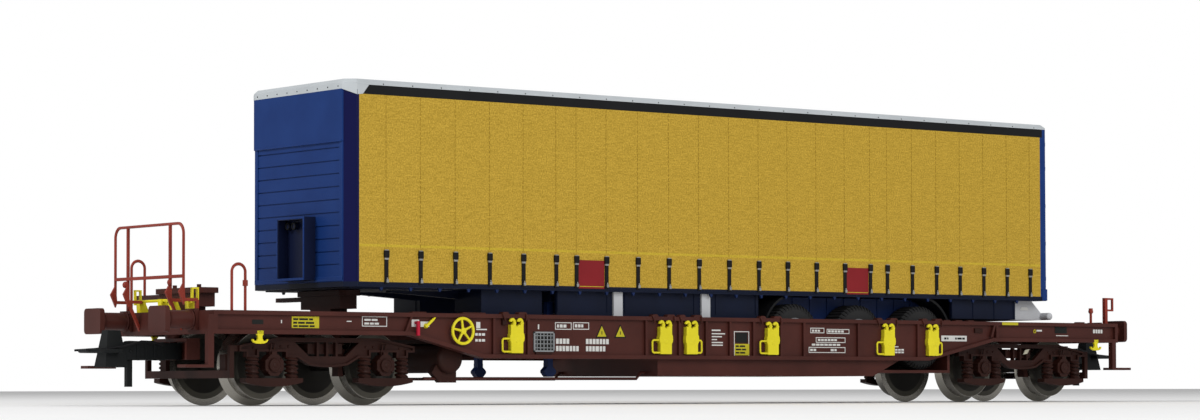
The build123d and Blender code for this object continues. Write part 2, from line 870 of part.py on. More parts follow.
# Coupler: eye on the pivot pin, shank, hook head and wire bow, made for the front and turned for the rear
def make_coupler():
    middle = coupler_bottom + coupler_height / 2
    bow_half = (coupler_bow_width - coupler_bow_rod) / 2
    bow_front = -coupler_bow_end + coupler_bow_rod / 2
    head_middle = -(coupler_shank_end + coupler_head_end) / 2
    with BuildPart() as coupler:
        with BuildSketch(Plane.XY.offset(coupler_bottom)):
            with Locations((-coupler_pivot, 0)):
                Circle(coupler_eye_diameter / 2)
            with Locations((-(coupler_pivot + coupler_shank_end) / 2, 0)):
                Rectangle(coupler_shank_end - coupler_pivot, coupler_shank_width)
            with Locations((-coupler_pivot, 0)):
                Circle(coupler_pin_diameter / 2 + fit_gap, mode=Mode.SUBTRACT)
        extrude(amount=coupler_height)
        # Head that tapers towards its top, and the tail that hangs behind it
        with BuildSketch(Plane.XY.offset(coupler_head_bottom)):
            with Locations((head_middle, 0)):
                Rectangle(coupler_head_length + 2 * coupler_head_overlap, coupler_head_width)
        extrude(amount=coupler_head_top - coupler_head_bottom, taper=coupler_head_taper)
        with BuildSketch(Plane.XY.offset(coupler_tail_bottom)):
            with Locations((-coupler_shank_end + coupler_tail_inset, 0)):
                Rectangle(coupler_tail_size, coupler_tail_size)
        extrude(amount=middle - coupler_tail_bottom)
        # Wire bow in front of the head
        with BuildLine() as bow:
            FilletPolyline(
                (head_middle, -bow_half, middle),
                (bow_front, -bow_half, middle),
                (bow_front, bow_half, middle),
                (head_middle, bow_half, middle),
                radius=coupler_bow_corner,
            )
        with BuildSketch(Plane(origin=(head_middle, -bow_half, middle), z_dir=(-1, 0, 0))):
            RegularPolygon(coupler_bow_rod / 2, small_bar_sides)
        sweep(path=bow.wires()[0])
        with BuildSketch(Plane.XY.offset(middle - coupler_bow_rod / 2)):
            with Locations((head_middle, 0)):
                Rectangle(coupler_bow_rod, 2 * bow_half + coupler_bow_rod)
        extrude(amount=coupler_bow_rod)
    return coupler.part


coupler_front = make_coupler()
finish(coupler_front, "coupler_front")
finish(mirror(coupler_front, about=Plane.YZ), "coupler_rear")


# End railing: outer hoop, inner bars, lower bar, gussets, feet and struts down to the headstock
with BuildPart() as end_railing:
    plane = looking_front(-railing_plane)
    leg = railing_half_width
    railing_offsets = (-leg, -railing_inner_offset, railing_inner_offset, leg)
    tube_radius = railing_tube / 2
    with BuildLine():
        hoop = FilletPolyline(
            (-railing_plane, -leg, railing_leg_bottom),
            (-railing_plane, -leg, railing_top - tube_radius),
            (-railing_plane, leg, railing_top - tube_radius),
            (-railing_plane, leg, railing_leg_bottom),
            radius=railing_corner,
        )
    with BuildSketch(Plane(origin=hoop @ 0, z_dir=hoop % 0)):
        RegularPolygon(tube_radius, small_bar_sides)
    sweep(path=hoop)
    with BuildSketch(Plane.XY.offset(railing_leg_bottom)):
        for side in (-1, 1):
            with Locations((-railing_plane, side * railing_inner_offset)):
                Rectangle(railing_tube * 0.8, railing_tube * 0.8)
    extrude(amount=railing_top - railing_tube / 2 - railing_leg_bottom)
    with BuildSketch(plane.offset(-tube_radius)):
        with Locations((0, railing_bar_height)):
            Rectangle(2 * leg, railing_tube)
    extrude(amount=railing_tube)
    # Feet that run back from the four legs over the headstock
    with BuildSketch(plane):
        with Locations([(y, railing_leg_bottom) for y in railing_offsets]):
            Rectangle(railing_tube, railing_tube)
    extrude(amount=sill_half_length + tube_radius - railing_plane)
    for y in railing_offsets:
        with BuildSketch(looking_near(0, y + gusset_thickness / 2)):
            with BuildLine():
                Polyline([
                    (-railing_plane, railing_bar_height - gusset_top_drop),
                    (-railing_plane - gusset_reach, railing_bar_height - gusset_tip_drop),
                    (-railing_plane, railing_leg_bottom - gusset_bottom_drop),
                    (-railing_plane + tube_radius, railing_leg_bottom),
                ], close=True)
            make_face()
        extrude(amount=gusset_thickness)
    for y in (-railing_inner_offset, railing_inner_offset):
        with BuildSketch(looking_near(0, y + gusset_thickness / 2)):
            with BuildLine():
                Polyline([
                    (-railing_plane - tube_radius, railing_leg_bottom),
                    (-railing_plane + tube_radius, railing_leg_bottom),
                    (-headstock_face, buffer_height - strut_top_drop),
                    (-headstock_face, buffer_height - strut_top_drop - strut_height),
                ], close=True)
            make_face()
        extrude(amount=gusset_thickness)
    # Short uprights from the feet to the top of the headstock
    with BuildSketch(Plane.XY.offset(sill_top)):
        for side in (-1, 1):
            with Locations((-sill_half_length - headstock_thickness / 2, side * leg)):
                Rectangle(railing_tube, railing_tube)
    extrude(amount=railing_leg_bottom - sill_top)
finish(end_railing.part, "end_railing")


# Side handrails, one hoop on each sill
def make_side_handrail(side, inset, top):
    y = side * handrail_offset
    first_leg = inset - headstock_face
    second_leg = first_leg + handrail_length
    radius = handrail_length / 2
    spring_line = top - handrail_tube / 2 - radius
    with BuildPart() as handrail:
        with BuildLine() as path:
            Line((first_leg, y, sill_top), (first_leg, y, spring_line))
            ThreePointArc(
                (first_leg, y, spring_line),
                (first_leg + radius, y, spring_line + radius),
                (second_leg, y, spring_line),
            )
            Line((second_leg, y, spring_line), (second_leg, y, sill_top))
        with BuildSketch(Plane.XY.offset(sill_top)):
            with Locations((first_leg, y)):
                RegularPolygon(handrail_tube / 2, small_bar_sides)
        sweep(path=path.wires()[0])
    return handrail.part


finish(Compound([make_side_handrail(*row) for row in handrail_table]), "side_handrails")


# Release shaft: bar on four feet, with a ring handle at each end
with BuildPart() as release_shaft:
    shaft_x = -sill_half_length
    bar = release_shaft_diameter
    bar_start = (shaft_x, release_shaft_near_end, release_shaft_height)
    with BuildSketch(Plane(origin=bar_start, x_dir=(1, 0, 0), z_dir=(0, 1, 0))):
        RegularPolygon(bar / 2, small_bar_sides)
    extrude(amount=release_shaft_far_end - release_shaft_near_end)
    for foot in release_foot_places:
        with BuildSketch(looking_near(shaft_x, foot + release_foot_width / 2)):
            with BuildLine():
                Polyline([
                    (-release_foot_top_front, release_shaft_height + bar / 2),
                    (release_foot_top_rear, release_shaft_height + bar / 2),
                    (release_foot_length, sill_top),
                    (-headstock_thickness / 2, sill_top),
                ], close=True)
            make_face()
        extrude(amount=release_foot_width)
    for ring_place in (release_shaft_near_end, release_shaft_far_end):
        with BuildSketch(looking_near(shaft_x, ring_place + bar / 2)):
            with Locations((0, release_shaft_height + release_ring_rise)):
                Rectangle(release_ring_width, release_ring_height)
                Rectangle(release_ring_width - bar, release_ring_height - bar, mode=Mode.SUBTRACT)
        extrude(amount=bar)
finish(release_shaft.part, "release_shaft")


# Trailer hitch: foot, block, top plate and an arm on the far side; the front one has two stubs for a trailer
def make_hitch(x, stubs):
    plate_bottom = hitch_plate_top - hitch_plate_thickness
    block_bottom = sill_top + hitch_foot_height
    half_length = hitch_plate_length / 2
    half_width = hitch_plate_half_width
    corner = hitch_plate_corner
    with BuildPart() as hitch:
        with BuildSketch(looking_front(x - hitch_pedestal_length / 2)):
            with BuildLine():
                Polyline([
                    (-hitch_foot_half_width, sill_top),
                    (-hitch_foot_half_width, block_bottom),
                    (-hitch_block_half_width, block_bottom),
                    (-hitch_block_half_width, plate_bottom),
                    (hitch_block_half_width, plate_bottom),
                    (hitch_block_half_width, block_bottom),
                    (hitch_foot_half_width, block_bottom),
                    (hitch_foot_half_width, sill_top),
                ], close=True)
            make_face()
        extrude(amount=-hitch_pedestal_length)
        with BuildSketch(Plane.XY.offset(plate_bottom)):
            with BuildLine():
                Polyline([
                    (x - half_length, half_width - corner),
                    (x - half_length + corner, half_width),
                    (x + half_length - corner, half_width),
                    (x + half_length, half_width - corner),
                    (x + half_length, -half_width + corner),
                    (x + half_length - corner, -half_width),
                    (x - half_length + corner, -half_width),
                    (x - half_length, -half_width + corner),
                ], close=True)
            make_face()
        extrude(amount=hitch_plate_thickness)
        with BuildSketch(Plane.XY.offset(plate_bottom - hitch_arm_thickness)):
            with Locations((x, (hitch_arm_reach + hitch_foot_half_width) / 2)):
                Rectangle(hitch_arm_width, hitch_arm_reach - hitch_foot_half_width)
        extrude(amount=hitch_arm_thickness)
        if stubs:
            with BuildSketch(Plane.XY.offset(hitch_plate_top)):
                with Locations((x, -hitch_stub_offset), (x, hitch_stub_offset)):
                    RegularPolygon(hitch_stub_diameter / 2, small_bar_sides)
            extrude(amount=hitch_stub_height)
    return hitch.part


finish(make_hitch(hitch_front_place, stubs=True), "hitch_front")
finish(make_hitch(kingpin_place, stubs=False), "hitch_middle")


# Locking levers: plates with two hooked ears and a handle loop, in front of the sill's web
def make_locking_lever(x, handle_side):
    half = lever_body_width / 2
    neck = lever_neck_width / 2
    ear = lever_ear_pitch / 2
    handle_centre = handle_side * (half + lever_handle_width / 2 - lever_handle_bar / 2)
    with BuildPart() as lever:
        with BuildSketch(looking_near(x, -sill_web_face)):
            with BuildLine():
                Polyline([
                    (-half, lever_bottom),
                    (-half, lever_bottom + lever_waist_height),
                    (-half - lever_bulge, lever_bottom + lever_waist_height + lever_bulge),
                    (-half - lever_bulge, lever_bottom + lever_shoulder_height - lever_bulge),
                    (-neck, lever_bottom + lever_shoulder_height + lever_bulge),
                    (-neck, lever_bottom + lever_neck_height),
                    (neck, lever_bottom + lever_neck_height),
                    (neck, lever_bottom + lever_shoulder_height + lever_bulge),
                    (half + lever_bulge, lever_bottom + lever_shoulder_height - lever_bulge),
                    (half + lever_bulge, lever_bottom + lever_waist_height + lever_bulge),
                    (half, lever_bottom + lever_waist_height),
                    (half, lever_bottom),
                ], close=True)
            make_face()
            with Locations((-ear, lever_bottom + lever_ear_height), (ear, lever_bottom + lever_ear_height)):
                RegularPolygon(lever_ear_radius, 8, rotation=22.5)
            with Locations((-ear - lever_ear_radius, lever_bottom + lever_ear_height),
                           (ear - lever_ear_radius, lever_bottom + lever_ear_height)):
                RegularPolygon(lever_notch_radius, 4, mode=Mode.SUBTRACT)
        extrude(amount=lever_thickness)
        with BuildSketch(looking_near(x, -sill_web_face - lever_thickness / 2)):
            with Locations((handle_centre, lever_bottom + lever_handle_height / 2)):
                Rectangle(lever_handle_width, lever_handle_height)
                Rectangle(lever_handle_width - 2 * lever_handle_bar,
                          lever_handle_height - 2 * lever_handle_bar, mode=Mode.SUBTRACT)
        extrude(amount=lever_handle_bar)
        # Kept clear of the sill's lower flange
        with BuildSketch(looking_near(0, -sill_inner)):
            with BuildLine():
                Polyline(sill_lower_edge() + sill_lower_edge(sill_flange_thickness)[::-1], close=True)
            make_face()
        extrude(amount=sill_flange_width, mode=Mode.SUBTRACT)
    return lever.part


near_levers = [make_locking_lever(x, handle_side) for x, handle_side in lever_table]
finish(Compound(near_levers), "locking_levers_near")
finish(Compound([mirror(lever, about=Plane.XZ) for lever in near_levers]), "locking_levers_far")


# Handwheels of the parking brake, one on each side
with BuildPart() as handwheel:
    wheel_plane = looking_near(handwheel_place, -sill_face)
    wheel_radius = handwheel_diameter / 2
    with BuildSketch(wheel_plane):
        with Locations((0, handwheel_height)):
            RegularPolygon(wheel_radius, handwheel_sides)
            RegularPolygon(wheel_radius - handwheel_rim, handwheel_sides, mode=Mode.SUBTRACT)
            RegularPolygon(handwheel_hub_diameter / 2, small_bar_sides)
            with PolarLocations(wheel_radius / 2, handwheel_spokes, start_angle=handwheel_first_spoke):
                Rectangle(wheel_radius - handwheel_rim / 2, handwheel_spoke_width)
    extrude(amount=handwheel_thickness)
    with BuildSketch(looking_near(handwheel_place, -sill_web_face)):
        with Locations((0, handwheel_height)):
            RegularPolygon(handwheel_shaft_diameter / 2, small_bar_sides)
    extrude(amount=sill_face - sill_web_face)
finish(Compound([handwheel.part, mirror(handwheel.part, about=Plane.XZ)]), "handwheels")


# Grid plates on the sills: frame with bars
with BuildPart() as grid_plate:
    with BuildSketch(looking_near(grid_place, -sill_web_face)):
        with Locations((0, grid_bottom + grid_height / 2)):
            Rectangle(grid_width, grid_height)
            with GridLocations((grid_width - grid_bar) / grid_columns, (grid_height - grid_bar) / grid_rows,
                               grid_columns, grid_rows):
                Rectangle((grid_width - grid_bar) / grid_columns - grid_bar,
                          (grid_height - grid_bar) / grid_rows - grid_bar, mode=Mode.SUBTRACT)
    extrude(amount=grid_thickness)
finish(Compound([grid_plate.part, mirror(grid_plate.part, about=Plane.XZ)]), "grid_plates")


# Brake changeover lever and load changeover lever on each sill
def make_change_lever(x, middle, length, turn):
    with BuildPart() as lever:
        with BuildSketch(looking_near(x, -sill_face)):
            with Locations(Location((0, middle, 0), (0, 0, turn))):
                Rectangle(length, lever_arm_width)
        extrude(amount=lever_arm_thickness)
        with BuildSketch(looking_near(x, -sill_web_face)):
            with Locations((math.cos(math.radians(turn)) * (length - lever_arm_width) / 2,
                            middle + math.sin(math.radians(turn)) * (length - lever_arm_width) / 2)):
                RegularPolygon(lever_arm_width / 2, small_bar_sides)
        extrude(amount=sill_face - sill_web_face)
    return lever.part


brake_lever = make_change_lever(brake_lever_place, brake_lever_middle, brake_lever_length, 90)
finish(Compound([brake_lever, mirror(brake_lever, about=Plane.XZ)]), "brake_levers")
load_lever = make_change_lever(load_lever_place, load_lever_middle, load_lever_length, load_lever_turn)
finish(Compound([load_lever, mirror(load_lever, about=Plane.XZ)]), "load_levers")


# Rope hooks under the ends of the sills
def make_rope_hook(x):
    half = rope_hook_width / 2
    bottom = rope_hook_top - rope_hook_height
    curl = rope_hook_curl
    with BuildPart() as hook:
        with BuildSketch(looking_near(x, -sill_face)):
            with BuildLine():
                Polyline([
                    (-rope_hook_top_width / 2, rope_hook_top),
                    (rope_hook_top_width / 2, rope_hook_top),
                    (rope_hook_neck_width / 2, bottom + curl),
                    (half - curl / 2, bottom + 4 / 3 * curl),
                    (half, bottom + curl),
                    (half - curl / 2, bottom),
                    (-half + curl / 2, bottom),
                    (-half, bottom + curl),
                    (-half + curl / 2, bottom + 4 / 3 * curl),
                    (-rope_hook_neck_width / 2, bottom + curl),
                ], close=True)
            make_face()
        extrude(amount=rope_hook_thickness)
    return hook.part


near_hooks = [make_rope_hook(x) for x in rope_hook_places]
finish(Compound(near_hooks + [mirror(hook, about=Plane.XZ) for hook in near_hooks]), "rope_hooks")


# Air reservoir across the wagon, on two brackets under a bar between the webs of the sills
with BuildPart() as air_reservoir:
    bar_half_width = sill_web_face - sill_web_thickness
    bar_top = reservoir_bar_bottom + reservoir_bar_thickness
    with BuildSketch(looking_near(reservoir_place, reservoir_half_length)):
        with Locations((0, reservoir_height)):
            Circle(reservoir_diameter / 2)
    extrude(amount=2 * reservoir_half_length)
    with BuildSketch(Plane.XY.offset(reservoir_bar_bottom)):
        with Locations((reservoir_place, 0)):
            Rectangle(reservoir_bar_length, 2 * bar_half_width)
    extrude(amount=reservoir_bar_thickness)
    for side in (-1, 1):
        with BuildSketch(looking_near(reservoir_place, side * rod_offset + bracket_thickness / 2)):
            with BuildLine():
                Polyline([
                    (-bracket_length, bracket_bottom + bracket_length / 2),
                    (-bracket_length / 2, bracket_bottom),
                    (bracket_length / 2, bracket_bottom),
                    (bracket_length / 2, reservoir_height),
                    (reservoir_bar_length / 2, bar_top),
                    (-reservoir_bar_length / 2, bar_top),
                    (-bracket_length / 2, reservoir_height),
                ], close=True)
            make_face()
        extrude(amount=bracket_thickness)
        hole_start = (reservoir_place - bracket_length, side * rod_offset, rod_height)
        with BuildSketch(Plane(origin=hole_start, z_dir=(1, 0, 0))):
            Circle(rod_diameter / 2 + seat_gap)
        extrude(amount=2 * bracket_length, mode=Mode.SUBTRACT)
finish(air_reservoir.part, "air_reservoir")


# Brake rods: through the reservoir's brackets, bent up and then back onto the pocket's front wall
def make_brake_rod(y):
    with BuildPart() as rod:
        with BuildLine() as path:
            Polyline(
                (rod_front, y, rod_height),
                (rod_rear - rod_top + rod_height, y, rod_height),
                (rod_rear, y, rod_top),
                (pocket_front, y, rod_top),
            )
        with BuildSketch(Plane(origin=(rod_front, y, rod_height), z_dir=(1, 0, 0))):
            RegularPolygon(rod_diameter / 2, small_bar_sides)
        sweep(path=path.wires()[0], transition=Transition.RIGHT)
    return rod.part


finish(Compound([make_brake_rod(side * rod_offset) for side in (-1, 1)]), "brake_rods")


# Steps at the four corners: post and tread, on the headstock's face in front, under the sill at the rear
def make_step(outer_end, post_place, post_top, side):
    tread_centre = outer_end * (post_place + (step_tread_length - step_post_width) / 2)
    with BuildPart() as step:
        with BuildSketch(Plane.XY.offset(step_tread_height)):
            with Locations((outer_end * post_place, side * (sill_face - step_post_width / 2))):
                Rectangle(step_post_width, step_post_width)
        extrude(amount=post_top - step_tread_height)
        with BuildSketch(Plane.XY.offset(step_tread_height - step_tread_thickness)):
            with Locations((tread_centre, side * (sill_face - step_tread_width / 2))):
                Rectangle(step_tread_length, step_tread_width)
        extrude(amount=step_tread_thickness)
    return step.part


steps = []
for side in (-1, 1):
    steps.append(make_step(-1, headstock_face + step_post_width / 2, front_step_post_top, side))
    steps.append(make_step(1, headstock_face - rear_step_inset, sill_end_bottom, side))
finish(Compound(steps), "end_steps")


# Lamp bracket and valve lever at the rear end
with BuildPart() as lamp_bracket:
    post_x = headstock_face - lamp_bracket_inset
    post_y = -lamp_bracket_offset
    with BuildSketch(Plane.XY.offset(sill_top)):
        with Locations((post_x, post_y)):
            Rectangle(lamp_bracket_width, lamp_bracket_width)
    extrude(amount=lamp_bracket_top - sill_top)
    with BuildSketch(looking_near(post_x, post_y + lamp_bracket_width / 2)):
        with Locations((lamp_loop_width / 2, lamp_bracket_top - lamp_loop_height / 2)):
            Rectangle(lamp_loop_width, lamp_loop_height)
            Rectangle(lamp_loop_width - lamp_bracket_width, lamp_loop_height - lamp_bracket_width,
                      mode=Mode.SUBTRACT)
    extrude(amount=lamp_bracket_width / 2)
finish(lamp_bracket.part, "lamp_bracket")

with BuildPart() as valve_lever:
    lever_x = headstock_face - valve_lever_inset
    with BuildSketch(Plane.XY.offset(sill_top)):
        with Locations((lever_x, -valve_lever_offset)):
            RegularPolygon(lever_arm_width / 2, small_bar_sides)
    extrude(amount=valve_lever_top - sill_top)
    with BuildSketch(Plane.XY.offset(valve_lever_top - valve_knob_diameter / 2)):
        with Locations((lever_x, -valve_lever_offset)):
            RegularPolygon(valve_knob_diameter / 2, small_bar_sides)
    extrude(amount=valve_knob_diameter)
finish(valve_lever.part, "valve_lever")


# Trailer floor with its side rail
with BuildPart() as trailer_floor:
    with BuildSketch(Plane.XY.offset(trailer_floor_bottom)):
        with BuildLine():
            Polyline([
                (trailer_front, trailer_half_width - trailer_corner_width),
                (corner_end, trailer_half_width),
                (trailer_rear, trailer_half_width),
                (trailer_rear, -trailer_half_width),
                (corner_end, -trailer_half_width),
                (trailer_front, -trailer_half_width + trailer_corner_width),
            ], close=True)
        make_face()
    extrude(amount=trailer_floor_top - trailer_floor_bottom)
finish(trailer_floor.part, "trailer_floor")


# Front wall: chamfered corners, plain header over a planked panel, opening for the connector box
with BuildPart() as trailer_front_wall:
    panel_half = trailer_half_width - trailer_corner_width - plank_frame
    planks = int((header_bottom - trailer_floor_top - plank_frame) // plank_height)
    with BuildSketch(Plane.XY.offset(trailer_floor_top)):
        with BuildLine():
            Polyline([
                (trailer_front, trailer_half_width - trailer_corner_width),
                (corner_end, trailer_half_width),
                (curtain_front, trailer_half_width),
                (curtain_front, trailer_half_width - trailer_wall),
                (trailer_box_front + corner_wall_overlap, trailer_half_width - trailer_wall),
                (trailer_box_front, trailer_half_width - trailer_corner_width),
                (trailer_box_front, -trailer_half_width + trailer_corner_width),
                (trailer_box_front + corner_wall_overlap, -trailer_half_width + trailer_wall),
                (curtain_front, -trailer_half_width + trailer_wall),
                (curtain_front, -trailer_half_width),
                (corner_end, -trailer_half_width),
                (trailer_front, -trailer_half_width + trailer_corner_width),
            ], close=True)
        make_face()
    extrude(amount=roof_front_skirt - trailer_floor_top)
    with BuildSketch(looking_front(trailer_front)):
        for plank in range(planks):
            groove = header_bottom - plank_frame - plank * plank_height
            with Locations((0, groove)):
                Rectangle(2 * panel_half, plank_groove)
    extrude(amount=-plank_groove, mode=Mode.SUBTRACT)
    with BuildSketch(looking_front(trailer_front)):
        with Locations((0, header_bottom)):
            Rectangle(2 * (trailer_half_width - trailer_corner_width), roof_front_skirt - header_bottom,
                      align=(Align.CENTER, Align.MIN))
    extrude(amount=header_proud)
finish(trailer_front_wall.part, "trailer_front_wall")


# Connector box on the front wall, open to the front, with two connectors under its top
with BuildPart() as trailer_connector_box:
    box_centre = (-(connector_box_left + connector_box_right) / 2,
                  (connector_box_top + connector_box_bottom) / 2)
    box_width = connector_box_left - connector_box_right
    box_height = connector_box_top - connector_box_bottom
    box_wall = looking_front(trailer_front)
    with BuildSketch(box_wall):
        with Locations(box_centre):
            Rectangle(box_width, box_height)
    extrude(amount=connector_box_depth)
    with BuildSketch(box_wall.offset(connector_box_wall)):
        with Locations(box_centre):
            Rectangle(box_width - 2 * connector_box_wall, box_height - 2 * connector_box_wall)
    extrude(amount=connector_box_depth, mode=Mode.SUBTRACT)
    with BuildSketch(box_wall.offset(connector_box_wall)):
        with Locations([(-y, connector_height) for y in connector_places]):
            Circle(connector_diameter / 2)
    extrude(amount=connector_depth)
finish(trailer_connector_box.part, "trailer_connector_box")


# Roof: cap with a skirt over the front wall, and the dark band along both sides
with BuildPart() as trailer_roof:
    roof_outline = [
        (trailer_front - header_proud, trailer_half_width - trailer_corner_width),
        (corner_end, trailer_half_width),
        (trailer_rear, trailer_half_width),
        (trailer_rear, -trailer_half_width),
        (corner_end, -trailer_half_width),
        (trailer_front - header_proud, -trailer_half_width + trailer_corner_width),
    ]
    with BuildSketch(Plane.XY.offset(trailer_roof_bottom)):
        with BuildLine():
            Polyline(roof_outline, close=True)
        make_face()
    extrude(amount=trailer_roof_top - trailer_roof_bottom)
    chamfer(trailer_roof.faces().sort_by(Axis.Z)[-1].edges(), roof_edge_chamfer)
    with BuildSketch(Plane.XY.offset(roof_front_skirt)):
        with BuildLine():
            Polyline([
                (trailer_front - header_proud, trailer_half_width - trailer_corner_width),
                (corner_end, trailer_half_width),
                (curtain_front, trailer_half_width),
                (curtain_front, -trailer_half_width),
                (corner_end, -trailer_half_width),
                (trailer_front - header_proud, -trailer_half_width + trailer_corner_width),
            ], close=True)
        make_face()
    extrude(amount=trailer_roof_bottom - roof_front_skirt)
finish(trailer_roof.part, "trailer_roof")

with BuildPart() as trailer_roof_band:
    with BuildSketch(Plane.XY.offset(roof_band_bottom)):
        for side in (-1, 1):
            with Locations((curtain_front, side * (trailer_half_width - roof_band_depth / 2))):
                Rectangle(trailer_rear - trailer_wall - curtain_front, roof_band_depth,
                          align=(Align.MIN, Align.CENTER))
    extrude(amount=trailer_roof_bottom - roof_band_bottom)
finish(trailer_roof_band.part, "trailer_roof_band")


# Side curtains between the front wall and the rear posts
with BuildPart() as trailer_curtain:
    with BuildSketch(Plane.XY.offset(trailer_floor_top)):
        with Locations((curtain_front, -trailer_half_width + trailer_wall)):
            Rectangle(curtain_rear - curtain_front, trailer_wall, align=(Align.MIN, Align.MAX))
    extrude(amount=roof_band_bottom - trailer_floor_top)
finish(trailer_curtain.part, "trailer_curtain_near")
finish(mirror(trailer_curtain.part, about=Plane.XZ), "trailer_curtain_far")


# Rear doors with their posts, lock bars and middle joint
with BuildPart() as trailer_rear_doors:
    with BuildSketch(Plane.XY.offset(trailer_floor_top)):
        with BuildLine():
            Polyline([
                (trailer_rear, trailer_half_width),
                (curtain_rear, trailer_half_width),
                (curtain_rear, trailer_half_width - trailer_wall),
                (trailer_rear - trailer_wall, trailer_half_width - trailer_wall),
                (trailer_rear - trailer_wall, -trailer_half_width + trailer_wall),
                (curtain_rear, -trailer_half_width + trailer_wall),
                (curtain_rear, -trailer_half_width),
                (trailer_rear, -trailer_half_width),
            ], close=True)
        make_face()
    extrude(amount=roof_band_bottom - trailer_floor_top)
    with BuildSketch(Plane.XY.offset(roof_band_bottom)):
        with Locations((trailer_rear - trailer_wall / 2, 0)):
            Rectangle(trailer_wall, 2 * trailer_half_width)
    extrude(amount=trailer_roof_bottom - roof_band_bottom)
    with BuildSketch(Plane.XY.offset(trailer_floor_top)):
        with Locations((trailer_rear, 0)):
            Rectangle(2 * door_split, door_split)
    extrude(amount=trailer_roof_bottom - trailer_floor_top, mode=Mode.SUBTRACT)
    with BuildSketch(Plane.XY.offset(trailer_floor_top)):
        for place in door_bar_places:
            with Locations((trailer_rear, place)):
                RegularPolygon(door_bar_diameter / 2, 8)
    extrude(amount=trailer_roof_bottom - trailer_floor_top)
finish(trailer_rear_doors.part, "trailer_rear_doors")


# Curtain straps
with BuildPart() as trailer_straps:
    with BuildSketch(looking_near(0, -trailer_half_width)):
        for x in strap_places:
            with Locations((x, (strap_top + strap_bottom) / 2)):
                Rectangle(strap_width, strap_top - strap_bottom)
    extrude(amount=strap_thickness)
finish(trailer_straps.part, "trailer_straps_near")
finish(mirror(trailer_straps.part, about=Plane.XZ), "trailer_straps_far")


# Trailer chassis: two beams with shallow necks, cross beams, rubbing plate with the kingpin, axle hangers
with BuildPart() as trailer_chassis:
    beam_height = trailer_floor_bottom - chassis_beam_bottom
    with BuildSketch(looking_near(0, -chassis_beam_offset + chassis_beam_width / 2)):
        with BuildLine():
            Polyline([
                (chassis_front, trailer_floor_bottom),
                (chassis_front, trailer_floor_bottom - chassis_neck_depth_front),
                (chassis_neck_rear, trailer_floor_bottom - chassis_neck_depth_rear),
                (chassis_neck_rear, chassis_beam_bottom),
                (chassis_rear, chassis_beam_bottom),
                (chassis_rear, trailer_floor_bottom),
            ], close=True)
        make_face()
    extrude(amount=chassis_beam_width)
    mirror(about=Plane.XZ)
    with BuildSketch(Plane.XY.offset(trailer_floor_bottom - beam_height / 2)):
        for x in cross_beam_places:
            with Locations((x, 0)):
                Rectangle(cross_beam_length, 2 * cross_beam_half_width)
    extrude(amount=beam_height / 2)
    with BuildSketch(Plane.XY.offset(trailer_floor_bottom - rubbing_plate_thickness)):
        with Locations((corner_end, 0)):
            Rectangle(rubbing_plate_rear - corner_end, 2 * rubbing_plate_half_width,
                      align=(Align.MIN, Align.CENTER))
    extrude(amount=rubbing_plate_thickness)
    with BuildSketch(Plane.XY.offset(hitch_plate_top)):
        with Locations((kingpin_place, 0)):
            Circle(kingpin_diameter / 2)
    extrude(amount=trailer_floor_bottom - hitch_plate_top)
    for x in trailer_axle_places:
        for side in (-1, 1):
            centre = side * chassis_beam_offset
            with BuildSketch(looking_near(x, centre + hanger_plate_thickness / 2)):
                with BuildLine():
                    Polyline([
                        (-hanger_plate_length / 2, chassis_beam_bottom),
                        (-hanger_plate_length / 3, trailer_axle_height - trailer_axle_diameter),
                        (hanger_plate_length / 3, trailer_axle_height - trailer_axle_diameter),
                        (hanger_plate_length / 2, chassis_beam_bottom),
                    ], close=True)
                make_face()
                with Locations((0, trailer_axle_height)):
                    Circle(trailer_axle_diameter / 2 + fit_gap, mode=Mode.SUBTRACT)
            extrude(amount=hanger_plate_thickness)
finish(trailer_chassis.part, "trailer_chassis")


# Trailer axles: beam axle with a tyre and a dished rim at each end, one body each
def make_trailer_axle(x):
    face = tyre_outer_face
    back = face - tyre_width
    tyre = tyre_diameter / 2
    rim = trailer_rim_diameter / 2
    hub = trailer_hub_diameter / 2
    half_profile = [
        (0, 0),
        (0, trailer_axle_diameter / 2),
        (back, trailer_axle_diameter / 2),
        (back, tyre),
        (face - tyre_shoulder, tyre),
        (face, tyre - tyre_shoulder),
        (face, rim),
        (face - trailer_rim_depth, hub),
        (face - trailer_rim_depth / 3, hub),
        (face - trailer_rim_depth / 3, 0),
    ]
    with BuildPart() as axle:
        with BuildSketch(Plane(origin=(x, 0, trailer_axle_height), x_dir=(0, 1, 0), z_dir=(1, 0, 0))):
            with BuildLine():
                Polyline(half_profile, close=True)
            make_face()
            mirror(about=Plane.YZ)
        revolve(axis=Axis((x, 0, trailer_axle_height), (0, 1, 0)))
    return axle.part


for number, x in enumerate(trailer_axle_places, start=1):
    finish(make_trailer_axle(x), f"trailer_axle_{number}")


